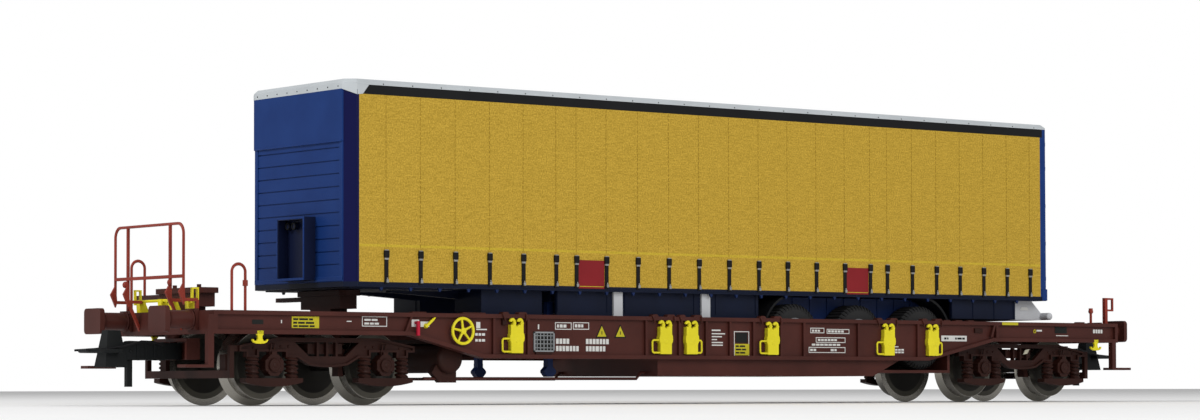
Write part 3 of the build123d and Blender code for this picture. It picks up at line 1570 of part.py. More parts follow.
# Landing legs with their feet and the cross shaft
with BuildPart() as trailer_landing_legs:
    for side in (-1, 1):
        with BuildSketch(Plane.XY.offset(leg_bottom)):
            with Locations((leg_place, side * leg_offset)):
                Rectangle(leg_size, leg_size)
        extrude(amount=trailer_floor_bottom - beam_height / 2 - leg_bottom)
        with BuildSketch(looking_near(leg_place, side * leg_offset + leg_foot_depth / 2)):
            half_leg = leg_size / 2
            half_foot = leg_foot_width / 2
            with BuildLine():
                Polyline([
                    (-half_leg, leg_bottom),
                    (-half_leg, leg_foot_widest + half_foot - half_leg),
                    (-half_foot, leg_foot_widest),
                    (-half_foot, leg_foot_widest - leg_foot_slope),
                    (-half_leg, leg_foot_bottom),
                    (half_leg, leg_foot_bottom),
                    (half_foot, leg_foot_widest - leg_foot_slope),
                    (half_foot, leg_foot_widest),
                    (half_leg, leg_foot_widest + half_foot - half_leg),
                    (half_leg, leg_bottom),
                ], close=True)
            make_face()
        extrude(amount=leg_foot_depth)
    with BuildSketch(looking_near(leg_place, leg_offset)):
        with Locations((0, chassis_beam_bottom - leg_size / 2)):
            Rectangle(leg_size / 2, leg_size / 2)
    extrude(amount=2 * leg_offset)
finish(trailer_landing_legs.part, "trailer_landing_legs")


# Pallet box, side panels with their posts, and the panels behind the wheels
with BuildPart() as trailer_pallet_box:
    beam_side = chassis_beam_offset + chassis_beam_width / 2
    with BuildSketch(Plane.XY.offset(pallet_box_bottom)):
        with Locations((pallet_box_front, -beam_side)):
            Rectangle(pallet_box_rear - pallet_box_front, pallet_box_half_width - beam_side,
                      align=(Align.MIN, Align.MAX))
    extrude(amount=trailer_floor_bottom - pallet_box_bottom)
    mirror(about=Plane.XZ)
finish(trailer_pallet_box.part, "trailer_pallet_boxes")

with BuildPart() as trailer_side_panels:
    panel_inner = side_panel_face - side_panel_thickness
    with BuildSketch(looking_near(0, -panel_inner)):
        for front, rear, bottom in ((side_panel_front, side_panel_rear, side_panel_bottom),
                                    (rear_panel_front, rear_panel_rear, underrun_bottom)):
            with Locations((front, bottom)):
                Rectangle(rear - front, trailer_floor_bottom - bottom, align=(Align.MIN, Align.MIN))
    extrude(amount=side_panel_thickness)
    mirror(about=Plane.XZ)
finish(trailer_side_panels.part, "trailer_side_panels")

with BuildPart() as trailer_side_posts:
    with BuildSketch(looking_near(0, -side_panel_face)):
        for x in side_post_places:
            with Locations((x, side_panel_bottom)):
                Rectangle(side_post_width, trailer_floor_bottom - side_panel_bottom,
                          align=(Align.CENTER, Align.MIN))
    extrude(amount=side_post_proud)
    mirror(about=Plane.XZ)
finish(trailer_side_posts.part, "trailer_side_posts")


# Mudguards: arcs in front of the first tyre and behind the last, up to the floor
with BuildPart() as trailer_mudguards:
    guard_inner = tyre_outer_face - mudguard_width
    guard_half = mudguard_radius + mudguard_thickness
    for x, side in ((trailer_axle_places[0], -1), (trailer_axle_places[-1], 1)):
        with BuildSketch(looking_near(x, -guard_inner)):
            with Locations((0, trailer_axle_height)):
                Circle(guard_half)
                Circle(mudguard_radius, mode=Mode.SUBTRACT)
            guard_end = trailer_axle_height + mudguard_end_rise
            with Locations((side * guard_half / 2, (guard_end + trailer_floor_bottom) / 2)):
                Rectangle(guard_half, trailer_floor_bottom - guard_end, mode=Mode.INTERSECT)
        extrude(amount=mudguard_width)
    mirror(about=Plane.XZ)
finish(trailer_mudguards.part, "trailer_mudguards")


# Rear underrun guard: side plates and the tube across
with BuildPart() as trailer_underrun:
    with BuildSketch(looking_near(0, -cross_beam_half_width)):
        with BuildLine():
            Polyline([
                (underrun_front, underrun_bottom),
                (underrun_front, trailer_floor_bottom),
                (underrun_top_rear, trailer_floor_bottom),
                (underrun_bottom_rear, underrun_bottom + underrun_plate_end),
                (underrun_bottom_rear, underrun_bottom),
            ], close=True)
        make_face()
    extrude(amount=underrun_plate_thickness)
    mirror(about=Plane.XZ)
    with BuildSketch(looking_near(underrun_bottom_rear, underrun_tube_half_length)):
        with Locations((0, underrun_bottom + underrun_tube_diameter / 2)):
            Circle(underrun_tube_diameter / 2)
    extrude(amount=2 * underrun_tube_half_length)
finish(trailer_underrun.part, "trailer_underrun")
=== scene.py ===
"""Looks of the model pocket wagon with its semi-trailer.

Lengths in the tables are in millimetres, in the same frame as the CAD: X along the wagon,
Y across it, Z up.  The near side is negative Y, and the railing end is negative X.
"""
import math

import bmesh
import bpy
from mathutils import Matrix, Vector


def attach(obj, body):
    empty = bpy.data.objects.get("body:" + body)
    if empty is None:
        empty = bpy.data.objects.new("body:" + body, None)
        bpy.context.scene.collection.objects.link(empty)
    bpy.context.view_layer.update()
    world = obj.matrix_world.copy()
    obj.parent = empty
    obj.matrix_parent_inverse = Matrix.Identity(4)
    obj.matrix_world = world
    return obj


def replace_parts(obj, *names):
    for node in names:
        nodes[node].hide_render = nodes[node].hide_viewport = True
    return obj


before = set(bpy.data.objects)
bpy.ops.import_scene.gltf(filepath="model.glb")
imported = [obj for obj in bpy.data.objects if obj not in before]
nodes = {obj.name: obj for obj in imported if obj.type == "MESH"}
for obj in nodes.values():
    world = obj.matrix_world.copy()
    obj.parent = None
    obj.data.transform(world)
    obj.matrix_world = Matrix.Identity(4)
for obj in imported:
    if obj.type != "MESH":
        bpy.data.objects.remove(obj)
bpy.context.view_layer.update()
MM = 0.001
# Signs of the near and the far side, and of the front and the rear end
signs = (-1, 1)

# Main places, as in the CAD
sill_face = 16.2
web_face = 15.6
sill_top = 14.65
curtain_face = 14.6
trailer_front = -73.6
trailer_rear = 81.5
corner_end = -72.0
floor_bottom = 18.7
header_bottom = 41.7
bogie_pivots = {"bogie_front": -76.44, "bogie_rear": 76.44}
axle_offset = 10.35
wheelset_places = {"wheelset_1": -86.79, "wheelset_2": -66.09, "wheelset_3": 66.09, "wheelset_4": 86.79}
wheelset_height = 6.3
trailer_axle_places = {"trailer_axle_1": 20.0, "trailer_axle_2": 35.06, "trailer_axle_3": 50.12}
tyre_height = 11.6
# Locking levers as place along X and the side of the handle (-1 front, 1 rear)
lever_table = [(-42.5, -1), (-11.4, -1), (-5.5, 1), (12.4, -1), (39.7, -1), (50.7, 1)]
strap_places = [-66.5, -59.9, -53.1, -46.3, -39.5, -32.8, -28.6, -22.3, -15.6, -8.9, -2.3, 4.4,
                11.1, 17.7, 24.4, 31.1, 37.2, 41.3, 47.4, 53.4, 59.3, 65.3, 71.3, 77.3]

# Noise scales, per metre
mottle_scale = 160.0
grain_scale = 3600.0
wheel_grain_scale = 3000.0
weave_scale = 3900.0
ripple_scale = 4300.0
floor_scale = 8.0


# Materials
def new_material(name):
    material = bpy.data.materials.new(name)
    material.use_nodes = True
    tree = material.node_tree
    return material, tree, tree.nodes["Principled BSDF"]


def noise_value(tree, scale, detail=3.0, stretch=(1, 1, 1)):
    """Noise in the object's own metres; returns its output socket."""
    coords = tree.nodes.new("ShaderNodeTexCoord")
    mapping = tree.nodes.new("ShaderNodeMapping")
    mapping.inputs["Scale"].default_value = stretch
    noise = tree.nodes.new("ShaderNodeTexNoise")
    noise.inputs["Scale"].default_value = scale
    noise.inputs["Detail"].default_value = detail
    tree.links.new(coords.outputs["Object"], mapping.inputs["Vector"])
    tree.links.new(mapping.outputs["Vector"], noise.inputs["Vector"])
    return noise.outputs["Fac"]


def ramp_between(tree, value, low, high, first, second):
    ramp = tree.nodes.new("ShaderNodeValToRGB")
    ramp.color_ramp.elements[0].position = low
    ramp.color_ramp.elements[1].position = high
    ramp.color_ramp.elements[0].color = (*first, 1)
    ramp.color_ramp.elements[1].color = (*second, 1)
    tree.links.new(value, ramp.inputs["Fac"])
    return ramp.outputs["Color"]


def mottled_paint(tree, first, second):
    return ramp_between(tree, noise_value(tree, mottle_scale), 0.35, 0.65, first, second)


def math_value(tree, operation, *values):
    """Math node on values that are numbers or output sockets."""
    node = tree.nodes.new("ShaderNodeMath")
    node.operation = operation
    for socket, value in zip(node.inputs, values):
        if isinstance(value, float):
            socket.default_value = value
        else:
            tree.links.new(value, socket)
    return node.outputs["Value"]


def mix_colors(tree, factor, first, second):
    mix = tree.nodes.new("ShaderNodeMix")
    mix.data_type = "RGBA"
    tree.links.new(factor, mix.inputs["Factor"])
    tree.links.new(first, mix.inputs["A"])
    mix.inputs["B"].default_value = (*second, 1)
    return mix.outputs["Result"]


def object_position(tree):
    coords = tree.nodes.new("ShaderNodeTexCoord")
    split = tree.nodes.new("ShaderNodeSeparateXYZ")
    tree.links.new(coords.outputs["Object"], split.inputs["Vector"])
    return split.outputs


def add_relief(tree, shader, height, strength):
    relief = tree.nodes.new("ShaderNodeBump")
    relief.inputs["Strength"].default_value = strength
    relief.inputs["Distance"].default_value = 0.1 * MM
    tree.links.new(height, relief.inputs["Height"])
    tree.links.new(relief.outputs["Normal"], shader.inputs["Normal"])


def moulded(name, color, roughness=0.5, spread=0.12, metallic=0.0, specular=0.15):
    """Painted or coloured plastic with a slight mottle and a fine surface grain."""
    material, tree, shader = new_material(name)
    darker = tuple(c * (1 - spread) for c in color)
    lighter = tuple(min(1, c * (1 + spread)) for c in color)
    tree.links.new(mottled_paint(tree, darker, lighter), shader.inputs["Base Color"])
    shader.inputs["Roughness"].default_value = roughness
    shader.inputs["Metallic"].default_value = metallic
    shader.inputs["Specular IOR Level"].default_value = specular
    add_relief(tree, shader, noise_value(tree, grain_scale), 0.05)
    return material


def make_wall_material():
    """Blue paint, darker on the chamfered corners of the front wall."""
    corner_start = 13.12
    wall_end = -60.0
    material, tree, shader = new_material("wall_blue")
    paint = mottled_paint(tree, (0.007, 0.030, 0.140), (0.009, 0.036, 0.160))
    position = object_position(tree)
    across = math_value(tree, "ABSOLUTE", position["Y"])
    outside = math_value(tree, "GREATER_THAN", across, corner_start * MM)
    in_front = math_value(tree, "LESS_THAN", position["X"], wall_end * MM)
    corner = math_value(tree, "MULTIPLY", outside, in_front)
    tree.links.new(mix_colors(tree, corner, paint, (0.004, 0.005, 0.048)), shader.inputs["Base Color"])
    shader.inputs["Roughness"].default_value = 0.42
    shader.inputs["Specular IOR Level"].default_value = 0.10
    add_relief(tree, shader, noise_value(tree, grain_scale), 0.05)
    return material


def make_curtain_material():
    """Golden yellow print with a fine cloth weave and a faint paler line near the bottom."""
    ripple_share = 0.26
    weave_share = 0.74
    line_height = 25.25
    line_half_width = 0.20
    line_strength = 0.33
    material, tree, shader = new_material("curtain_yellow")
    weave = noise_value(tree, weave_scale)
    ripple = noise_value(tree, ripple_scale, detail=2.0, stretch=(0.14, 0.14, 1.0))
    plain_share = math_value(tree, "MULTIPLY", weave, weave_share)
    threads = math_value(tree, "MULTIPLY_ADD", ripple, ripple_share, plain_share)
    cloth = ramp_between(tree, threads, 0.36, 0.64, (0.316, 0.196, 0.009), (0.556, 0.358, 0.040))
    height = object_position(tree)["Z"]
    line = math_value(tree, "COMPARE", height, line_height * MM, line_half_width * MM)
    faded = math_value(tree, "MULTIPLY", line, line_strength)
    tree.links.new(mix_colors(tree, faded, cloth, (0.62, 0.50, 0.020)), shader.inputs["Base Color"])
    shader.inputs["Roughness"].default_value = 0.6
    shader.inputs["Specular IOR Level"].default_value = 0.25
    add_relief(tree, shader, weave, 0.15)
    return material


def vector_math(tree, operation, vector, second=None):
    node = tree.nodes.new("ShaderNodeVectorMath")
    node.operation = operation
    tree.links.new(vector, node.inputs[0])
    if second:
        node.inputs[1].default_value = second
    return node.outputs


def make_wheel_material(name, x, height, bands):
    """Bands by distance from the axle; the ramps cover the reach in millimetres."""
    reach = 10
    material, tree, shader = new_material(name)
    coords = tree.nodes.new("ShaderNodeTexCoord")
    from_axle = vector_math(tree, "SUBTRACT", coords.outputs["Object"], (x * MM, 0, height * MM))
    flat = vector_math(tree, "MULTIPLY", from_axle["Vector"], (1, 0, 1))
    distance = vector_math(tree, "LENGTH", flat["Vector"])["Value"]
    share = math_value(tree, "MULTIPLY", distance, 1 / (reach * MM))
    for column, socket in enumerate(("Base Color", "Roughness", "Metallic"), start=1):
        ramp = tree.nodes.new("ShaderNodeValToRGB")
        ramp.color_ramp.interpolation = "CONSTANT"
        while len(ramp.color_ramp.elements) < len(bands):
            ramp.color_ramp.elements.new(0.5)
        for element, band in zip(ramp.color_ramp.elements, bands):
            element.position = band[0] / reach
            value = band[column]
            element.color = (*value, 1) if column == 1 else (value, value, value, 1)
        tree.links.new(share, ramp.inputs["Fac"])
        tree.links.new(ramp.outputs["Color"], shader.inputs[socket])
    add_relief(tree, shader, noise_value(tree, wheel_grain_scale), 0.05)
    return material


brown = moulded("wagon_brown", (0.06, 0.0165, 0.0125), roughness=0.42)
# Darker copy of the wagon brown for bogies, axleboxes, brake shoes, reservoir and small web boxes: painted
# shade under the sill.
underpart_brown_painted_shade = moulded("bogie_brown_painted_shade", (0.026, 0.0075, 0.005))
# Darker copy of the wagon brown for the middle hitch in the pocket under the trailer: painted shade.
hitch_brown_painted_shade = moulded("hitch_painted_shade", (0.033, 0.0105, 0.0075), roughness=0.55)
railing_red = moulded("railing_red", (0.24, 0.034, 0.021), roughness=0.42)
black = moulded("black_plastic", (0.006, 0.0062, 0.007))
coupler_grey = moulded("coupler_grey", (0.005, 0.0062, 0.0066))
yellow = moulded("bright_yellow", (0.72, 0.63, 0.022), roughness=0.4, spread=0.05)
# Dark navy of the trailer's underframe, made darker still to paint in the shade under the trailer.
navy_and_painted_shade = moulded("chassis_navy_and_painted_shade", (0.003, 0.0062, 0.021))
leg_blue = moulded("leg_blue", (0.007, 0.018, 0.072), roughness=0.42)
cap_grey = moulded("cap_grey", (0.47, 0.5, 0.52), roughness=0.4, spread=0.04)
post_grey = moulded("post_grey", (0.5, 0.51, 0.53), roughness=0.45, spread=0.06)
plate_grey = moulded("plate_grey", (0.24, 0.25, 0.26))
plate_dark = moulded("plate_dark", (0.01, 0.011, 0.01), roughness=0.6)
white = moulded("white_print", (0.6, 0.6, 0.58), spread=0.04)
cream = moulded("cream_print", (0.6, 0.57, 0.44), spread=0.04)
label_yellow = moulded("label_yellow", (0.46, 0.4, 0.02), spread=0.08)
strap_black = moulded("strap_black", (0.0065, 0.0065, 0.007), roughness=0.6)
tread_black = moulded("tread_black", (0.017, 0.017, 0.0175), roughness=0.7)
seam_ochre = moulded("seam_ochre", (0.27, 0.165, 0.012), roughness=0.6)
buckle_steel = moulded("buckle_steel", (0.33, 0.33, 0.32), roughness=0.35, metallic=0.7)
red_panel = moulded("red_panel", (0.205, 0.012, 0.016), roughness=0.42, spread=0.06)
red_plastic = moulded("red_plastic", (0.42, 0.012, 0.035), roughness=0.4, spread=0.06)
lamp_red = moulded("lamp_red", (0.42, 0.012, 0.01), roughness=0.2, specular=0.5)
wall_blue = make_wall_material()
# Sides and inside of the connector box: a darker navy than the wall's blue, painted shade.
connector_box_painted_shade = moulded("connector_box_painted_shade", (0.0045, 0.0085, 0.0330), roughness=0.45)
curtain = make_curtain_material()

node_materials = {
    brown: ["side_sill_near", "side_sill_far", "end_deck_front", "end_deck_rear", "headstock_front",
            "headstock_rear", "wheel_pocket", "brake_rods", "buffers_front", "buffers_rear", "end_steps",
            "hitch_front"],
    underpart_brown_painted_shade: ["bogie_frame_front", "bogie_frame_rear", "axleboxes_front", "axleboxes_rear",
                 "brake_shoes_front", "brake_shoes_rear", "air_reservoir"],
    hitch_brown_painted_shade: ["hitch_middle"],
    railing_red: ["end_railing", "side_handrails", "lamp_bracket", "valve_lever"],
    coupler_grey: ["coupler_front", "coupler_rear"],
    yellow: ["locking_levers_near", "locking_levers_far", "handwheels", "rope_hooks", "release_shaft",
             "load_levers"],
    red_plastic: ["brake_levers"],
    plate_grey: ["grid_plates"],
    wall_blue: ["trailer_front_wall", "trailer_rear_doors"],
    connector_box_painted_shade: ["trailer_connector_box"],
    navy_and_painted_shade: ["trailer_floor", "trailer_chassis", "trailer_pallet_boxes", "trailer_side_panels"],
    leg_blue: ["trailer_landing_legs"],
    post_grey: ["trailer_side_posts", "trailer_underrun"],
    cap_grey: ["trailer_roof"],
    black: ["trailer_roof_band", "trailer_mudguards"],
    strap_black: ["trailer_straps_near", "trailer_straps_far"],
    curtain: ["trailer_curtain_near", "trailer_curtain_far"],
}
wheelset_bands = [
    # radius where the band starts, colour, roughness, metallic
    (0, (0.024, 0.021, 0.016), 0.50, 0.3),
    (4.30, (0.085, 0.080, 0.066), 0.32, 0.9),
    (5.20, (0.34, 0.325, 0.29), 0.25, 0.95),
]
tyre_bands = [
    (0, (0.04, 0.04, 0.045), 0.5, 0.2),
    (3.3, (0.0085, 0.0085, 0.0090), 0.75, 0.0),
]


def cover_node(name, material):
    nodes[name].data.materials.clear()
    nodes[name].data.materials.append(material)


for material, names in node_materials.items():
    for name in names:
        cover_node(name, material)
for name, x in wheelset_places.items():
    cover_node(name, make_wheel_material(name + "_metal", x, wheelset_height, wheelset_bands))
for name, x in trailer_axle_places.items():
    cover_node(name, make_wheel_material(name + "_rubber", x, tyre_height, tyre_bands))


# Mesh building: every helper adds a closed solid to a bmesh, sizes in millimetres
def add_loft(bm, first, second):
    """Solid between two outlines of as many points."""
    low = [bm.verts.new(Vector(point) * MM) for point in first]
    high = [bm.verts.new(Vector(point) * MM) for point in second]
    bm.faces.new(low[::-1])
    bm.faces.new(high)
    for i in range(len(low)):
        j = (i + 1) % len(low)
        bm.faces.new((low[i], low[j], high[j], high[i]))


def add_prism(bm, outline, y):
    """Prism across the wagon from an outline in X and Z and its two ends in Y."""
    add_loft(bm, *[[(a, end, b) for a, b in outline] for end in y])


def add_box(bm, x, y, z):
    corners = ((x[0], y[0]), (x[1], y[0]), (x[1], y[1]), (x[0], y[1]))
    add_loft(bm, *[[(a, b, end) for a, b in corners] for end in z])


def span(side, *offsets):
    """Ends in rising order on one side, from their distances to the middle of the wagon."""
    return sorted(side * offset for offset in offsets)


def add_plate(bm, side, face, x, z, rise, sink=0.0):
    """Box that stands out from a face on one side of the wagon."""
    add_box(bm, x, span(side, face - sink, face + rise), z)


def build_plates(bm, face, rows):
    for side in signs:
        for x0, x1, z0, z1, rise, sink in rows:
            add_plate(bm, side, face, (x0, x1), (z0, z1), rise, sink)


def add_tube(bm, points, radius, sides=10, closed=False):
    """Round tube along points; radius is one number or one per point."""
    path = [Vector(point) * MM for point in points]
    radii = radius if isinstance(radius, list) else [radius] * len(path)
    last = len(path) - 1
    rings = []
    normal = None
    for i, point in enumerate(path):
        before = path[i - 1] if i > 0 or closed else point
        after = path[(i + 1) % len(path)] if i < last or closed else point
        direction = (after - before).normalized()
        if normal is None:
            normal = direction.orthogonal().normalized()
        normal = (normal - direction * normal.dot(direction)).normalized()
        across = direction.cross(normal)
        ring = []
        for k in range(sides):
            turn = 2 * math.pi * k / sides
            outward = normal * math.cos(turn) + across * math.sin(turn)
            ring.append(bm.verts.new(point + outward * radii[i] * MM))
        rings.append(ring)
    pairs = list(zip(rings, rings[1:]))
    if closed:
        pairs.append((rings[-1], rings[0]))
    for first, second in pairs:
        for k in range(sides):
            m = (k + 1) % sides
            bm.faces.new((first[k], first[m], second[m], second[k]))
    if not closed:
        bm.faces.new(rings[0][::-1])
        bm.faces.new(rings[-1])


def add_turned(bm, centre, outward, profile, sides):
    """Turned solid from rows of distance along its axis and radius."""
    points = []
    for along, _ in profile:
        points.append([c + o * along for c, o in zip(centre, outward)])
    add_tube(bm, points, [radius for _, radius in profile], sides)


def add_rivet(bm, point, outward, radius, height, sides=8):
    """Low domed head that stands on a point."""
    base = Vector(point)
    steps = [(-0.05, 1.0), (0.55, 0.86), (0.88, 0.55), (1.0, 0.18)]
    points = [base + Vector(outward) * height * rise for rise, _ in steps]
    add_tube(bm, points, [radius * share for _, share in steps], sides)


def add_ring(bm, centre, axis, radius, thickness, count=24, sides=8):
    """Torus around an axis."""
    points = []
    for k in range(count):
        turn = math.radians(360 * k / count)
        a = radius * math.cos(turn)
        b = radius * math.sin(turn)
        offset = {"X": (0, a, b), "Y": (a, 0, b)}[axis]
        points.append(tuple(c + o for c, o in zip(centre, offset)))
    add_tube(bm, points, thickness, sides, closed=True)


def arc_points(cx, cz, radius, start, stop, count):
    points = []
    for k in range(count + 1):
        turn = math.radians(start + (stop - start) * k / count)
        points.append((cx + radius * math.cos(turn), cz + radius * math.sin(turn)))
    return points


def four_corners(a, b):
    """Offsets of four bolts from their middle."""
    return [(x, z) for x in (-a, a) for z in (-b, b)]


def row(start, stop, pitch):
    """Places from start up to stop, one pitch apart."""
    spot = start
    while spot < stop:
        yield spot
        spot += pitch


def make_piece(name, body, slot, material, build, bevel=0.0, given=()):
    """Piece that rides on a body; its builder gets the mesh and what is given."""
    mesh = bpy.data.meshes.new(name)
    bm = bmesh.new()
    build(bm, *given)
    bmesh.ops.recalc_face_normals(bm, faces=bm.faces)
    bm.to_mesh(mesh)
    bm.free()
    mesh.materials.append(material)
    for polygon in mesh.polygons:
        polygon.use_smooth = True
    mesh.set_sharp_from_angle(angle=math.radians(38))
    piece = bpy.data.objects.new(name, mesh)
    bpy.context.collection.objects.link(piece)
    if bevel:
        edge = piece.modifiers.new("edge", "BEVEL")
        edge.width = bevel * MM
        edge.segments = 2
        edge.limit_method = "ANGLE"
    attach(piece, body)
    return piece


def make_plates(name, slot, material, face, rows, bevel=0.0):
    """Plates on both sides, from rows of x0, x1, z0, z1, rise over the face and depth in it."""
    make_piece(name, "wagon", slot, material, build_plates, bevel, (face, rows))


# Trailer: straps with buckles and clips, dashed seams, red panels
buckle_parts = [
    # x0, x1 from the strap's place, z0, z1, rise
    (-0.48, 0.48, 23.35, 24.5, 0.34),
    (-0.34, 0.34, 20.3, 20.8, 0.26),
]
clip_parts = [
    # x0, x1 from the strap's place, z0, z1, rise
    (-0.36, 0.36, 24.46, 24.62, 0.30),
    (-0.42, 0.30, 23.02, 23.32, 0.37),
    (-0.10, 0.34, 19.40, 19.92, 0.36),
    (0.02, 0.20, 19.92, 20.20, 0.30),
]
red_panel_rows = [
    # x0, x1, z0, z1, rise, depth
    (-28.15, -22.75, 19.15, 23.85, 0.07, 0.02),
    (31.55, 36.75, 19.15, 23.85, 0.07, 0.02),
]
red_line_rows = [
    # x0, x1, z0, z1, rise, depth
    (-27.95, -22.95, 19.45, 19.55, 0.10, 0.0),
    (31.75, 36.55, 19.45, 19.55, 0.10, 0.0),
]
seam_bottom = 25.1
seam_top = 48.9
seam_dash = 0.50
seam_gap = 0.28
seam_half_width = 0.05
seam_rows = []
for x in strap_places:
    for z in row(seam_bottom, seam_top, seam_dash + seam_gap):
        seam_rows.append((x - seam_half_width, x + seam_half_width, z, z + seam_dash, 0.03, 0.02))


def strap_rows(parts):
    """Rows for the same parts on every strap."""
    return [(x + x0, x + x1, z0, z1, rise, 0.0) for x in strap_places for x0, x1, z0, z1, rise in parts]


make_plates("strap_buckles", "black_plastic", strap_black, curtain_face, strap_rows(buckle_parts), bevel=0.08)
make_plates("strap_clips", "grey_plastic", buckle_steel, curtain_face, strap_rows(clip_parts), bevel=0.03)
make_plates("curtain_seams", "curtain_yellow", seam_ochre, curtain_face, seam_rows)
make_plates("red_panels", "red_plastic", red_panel, curtain_face, red_panel_rows, bevel=0.03)
make_plates("red_panel_lines", "yellow_plastic", label_yellow, curtain_face, red_line_rows)


# Trailer: hooks under the side rail, rub strip, rear corners, rivets and front corners of the roof cap
rail_hook_outline = [
    # x from the hook's place, z
    (-0.35, floor_bottom + 0.02), (0.35, floor_bottom + 0.02), (0.12, 18.15), (-0.12, 18.15),
]
rail_hook_face = curtain_face - 0.1
rail_hook_depth = 0.35
front_rivet_count = 9
front_rivet_pitch = 3.0
front_rivet_first = (-73.85, -12.0, 50.35)
side_rivet_height = 50.82
cap_flap = [(-72.05, 48.95), (-70.9, 49.1), (-69.7, 50.62), (-72.05, 50.62)]
cap_corner = [
    # x, y outward, z
    (-73.93, 13.10, 49.85), (-72.03, 14.70, 48.95), (-72.03, 14.70, 50.70), (-73.93, 13.10, 50.70),
]
cap_corner_depth = 0.30
# First place, end and pitch along X
rail_hook_row = (-67.3, 79, 5.655)
side_rivet_row = (-67.0, 80, 5.6)
# x0, x1, z0, z1, rise, depth
rail_strip = (corner_end + 0.3, trailer_rear - 0.3, 19.0, 19.12, 0.12, 0.1)
rear_corner = (80.4, trailer_rear + 0.25, 18.75, 20.9, 0.15, 0.8)


def build_rail_hooks(bm):
    for x in row(*rail_hook_row):
        outline = [(x + a, z) for a, z in rail_hook_outline]
        for side in signs:
            add_prism(bm, outline, span(side, rail_hook_face - rail_hook_depth, rail_hook_face))


def build_roof_rivets(bm):
    x, y, z = front_rivet_first
    for k in range(front_rivet_count):
        add_rivet(bm, (x, y + front_rivet_pitch * k, z), (-1, 0, 0), radius=0.13, height=0.08)
    for x in row(*side_rivet_row):
        for side in signs:
            point = (x, side * curtain_face, side_rivet_height)
            add_rivet(bm, point, (0, side, 0), radius=0.12, height=0.07, sides=6)


def build_roof_corners(bm):
    """Flaps of the cap that reach down over the front corners and end in a slant on the sides."""
    for side in signs:
        add_prism(bm, cap_flap, span(side, 14.5, 14.68))
        outer = [(x, side * y, z) for x, y, z in cap_corner]
        inner = [(x + cap_corner_depth, side * (y - cap_corner_depth), z) for x, y, z in cap_corner]
        add_loft(bm, inner, outer)


make_piece("rail_hooks", "wagon", "chassis_blue", leg_blue, build_rail_hooks)
make_plates("rail_strip", "chassis_blue", navy_and_painted_shade, curtain_face, [rail_strip])
make_piece("roof_rivets", "wagon", "roof_grey", black, build_roof_rivets)
make_piece("roof_corners", "wagon", "roof_grey", cap_grey, build_roof_corners, bevel=0.05)
make_plates("rear_corners", "trailer_blue", wall_blue, curtain_face, [rear_corner], bevel=0.1)


# Trailer: frame of the planked wall, posts of the wall, sockets and rim of the connector box
wall_half_width = 13.0
wall_frame_bottom = 19.6
wall_post_height = 49.8
box_front = trailer_front - 2.2
box_heights = (19.88, 30.02)
socket_height = 28.7


def build_wall_frame(bm):
    x = trailer_front
    back = x + 0.1
    for side in signs:
        add_box(bm, (x - 0.14, back), span(side, 12.1, wall_half_width), (19.7, header_bottom))
        post = [(corner_end, side * 14.58, z) for z in (wall_frame_bottom, wall_post_height)]
        add_tube(bm, post, 0.12, 6)
    add_box(bm, (x - 0.16, back), (-wall_half_width, wall_half_width), (wall_frame_bottom, 20.35))
    add_box(bm, (x - 0.38, back), (-12.9, 12.9), (header_bottom - 0.12, header_bottom + 0.16))


def build_sockets(bm):
    for y in (1.4, -0.4):
        add_ring(bm, (trailer_front - 1.12, y, socket_height), "X", 0.5, 0.12, 20, 6)
    add_ring(bm, (trailer_front - 0.45, -2.9, socket_height), "X", 0.42, 0.14, 18, 6)


def build_box_rim(bm):
    for y in ((-5.09, -4.80), (2.75, 2.97)):
        add_box(bm, (box_front - 0.06, box_front + 0.10), y, box_heights)
    for z in ((box_heights[0], 20.30), (29.7, box_heights[1])):
        add_box(bm, (box_front - 0.05, box_front + 0.30), (-4.9, 2.85), z)
    add_box(bm, (trailer_front - 0.04, trailer_front + 0.1), (-4.6, 1.3), (20.4, 28.0))


make_piece("wall_frame", "wagon", "trailer_blue", wall_blue, build_wall_frame, bevel=0.05)
make_piece("box_rim", "wagon", "trailer_blue", wall_blue, build_box_rim, bevel=0.05)
make_piece("sockets", "wagon", "black_plastic", black, build_sockets)


# Trailer: hinges and handles of the rear doors, rear lamps
lock_bar_places = (-9.5, -4.0, 4.0, 9.5)
lock_bar_clamps = (22.0, 27.5, 35.0, 43.0, 48.2)
lock_bar_clamp_height = 0.6
handle_length = 1.7
door_hinges = (22.5, 29.0, 36.0, 43.0, 47.5)
door_hinge_height = 0.75


def build_door_fittings(bm):
    for y in lock_bar_places:
        width = (y - 0.55, y + 0.55)
        for z in lock_bar_clamps:
            add_box(bm, (trailer_rear - 0.1, trailer_rear + 0.42), width, (z, z + lock_bar_clamp_height))
        handle = sorted((y, y - math.copysign(handle_length, y)))
        add_box(bm, (trailer_rear + 0.15, trailer_rear + 0.45), handle, (26.0, 26.45))
    for side in signs:
        for z in door_hinges:
            ends = (trailer_rear - 0.05, trailer_rear + 0.28)
            add_box(bm, ends, span(side, 12.4, 14.4), (z, z + door_hinge_height))


def build_lamps(bm):
    for side in signs:
        add_box(bm, (trailer_rear - 0.6, trailer_rear + 0.15), span(side, 8.2, 12.6), (18.72, 19.4))


make_piece("door_fittings", "wagon", "trailer_blue", wall_blue, build_door_fittings, bevel=0.04)
make_piece("rear_lamps", "wagon", "red_plastic", lamp_red, build_lamps, bevel=0.08)


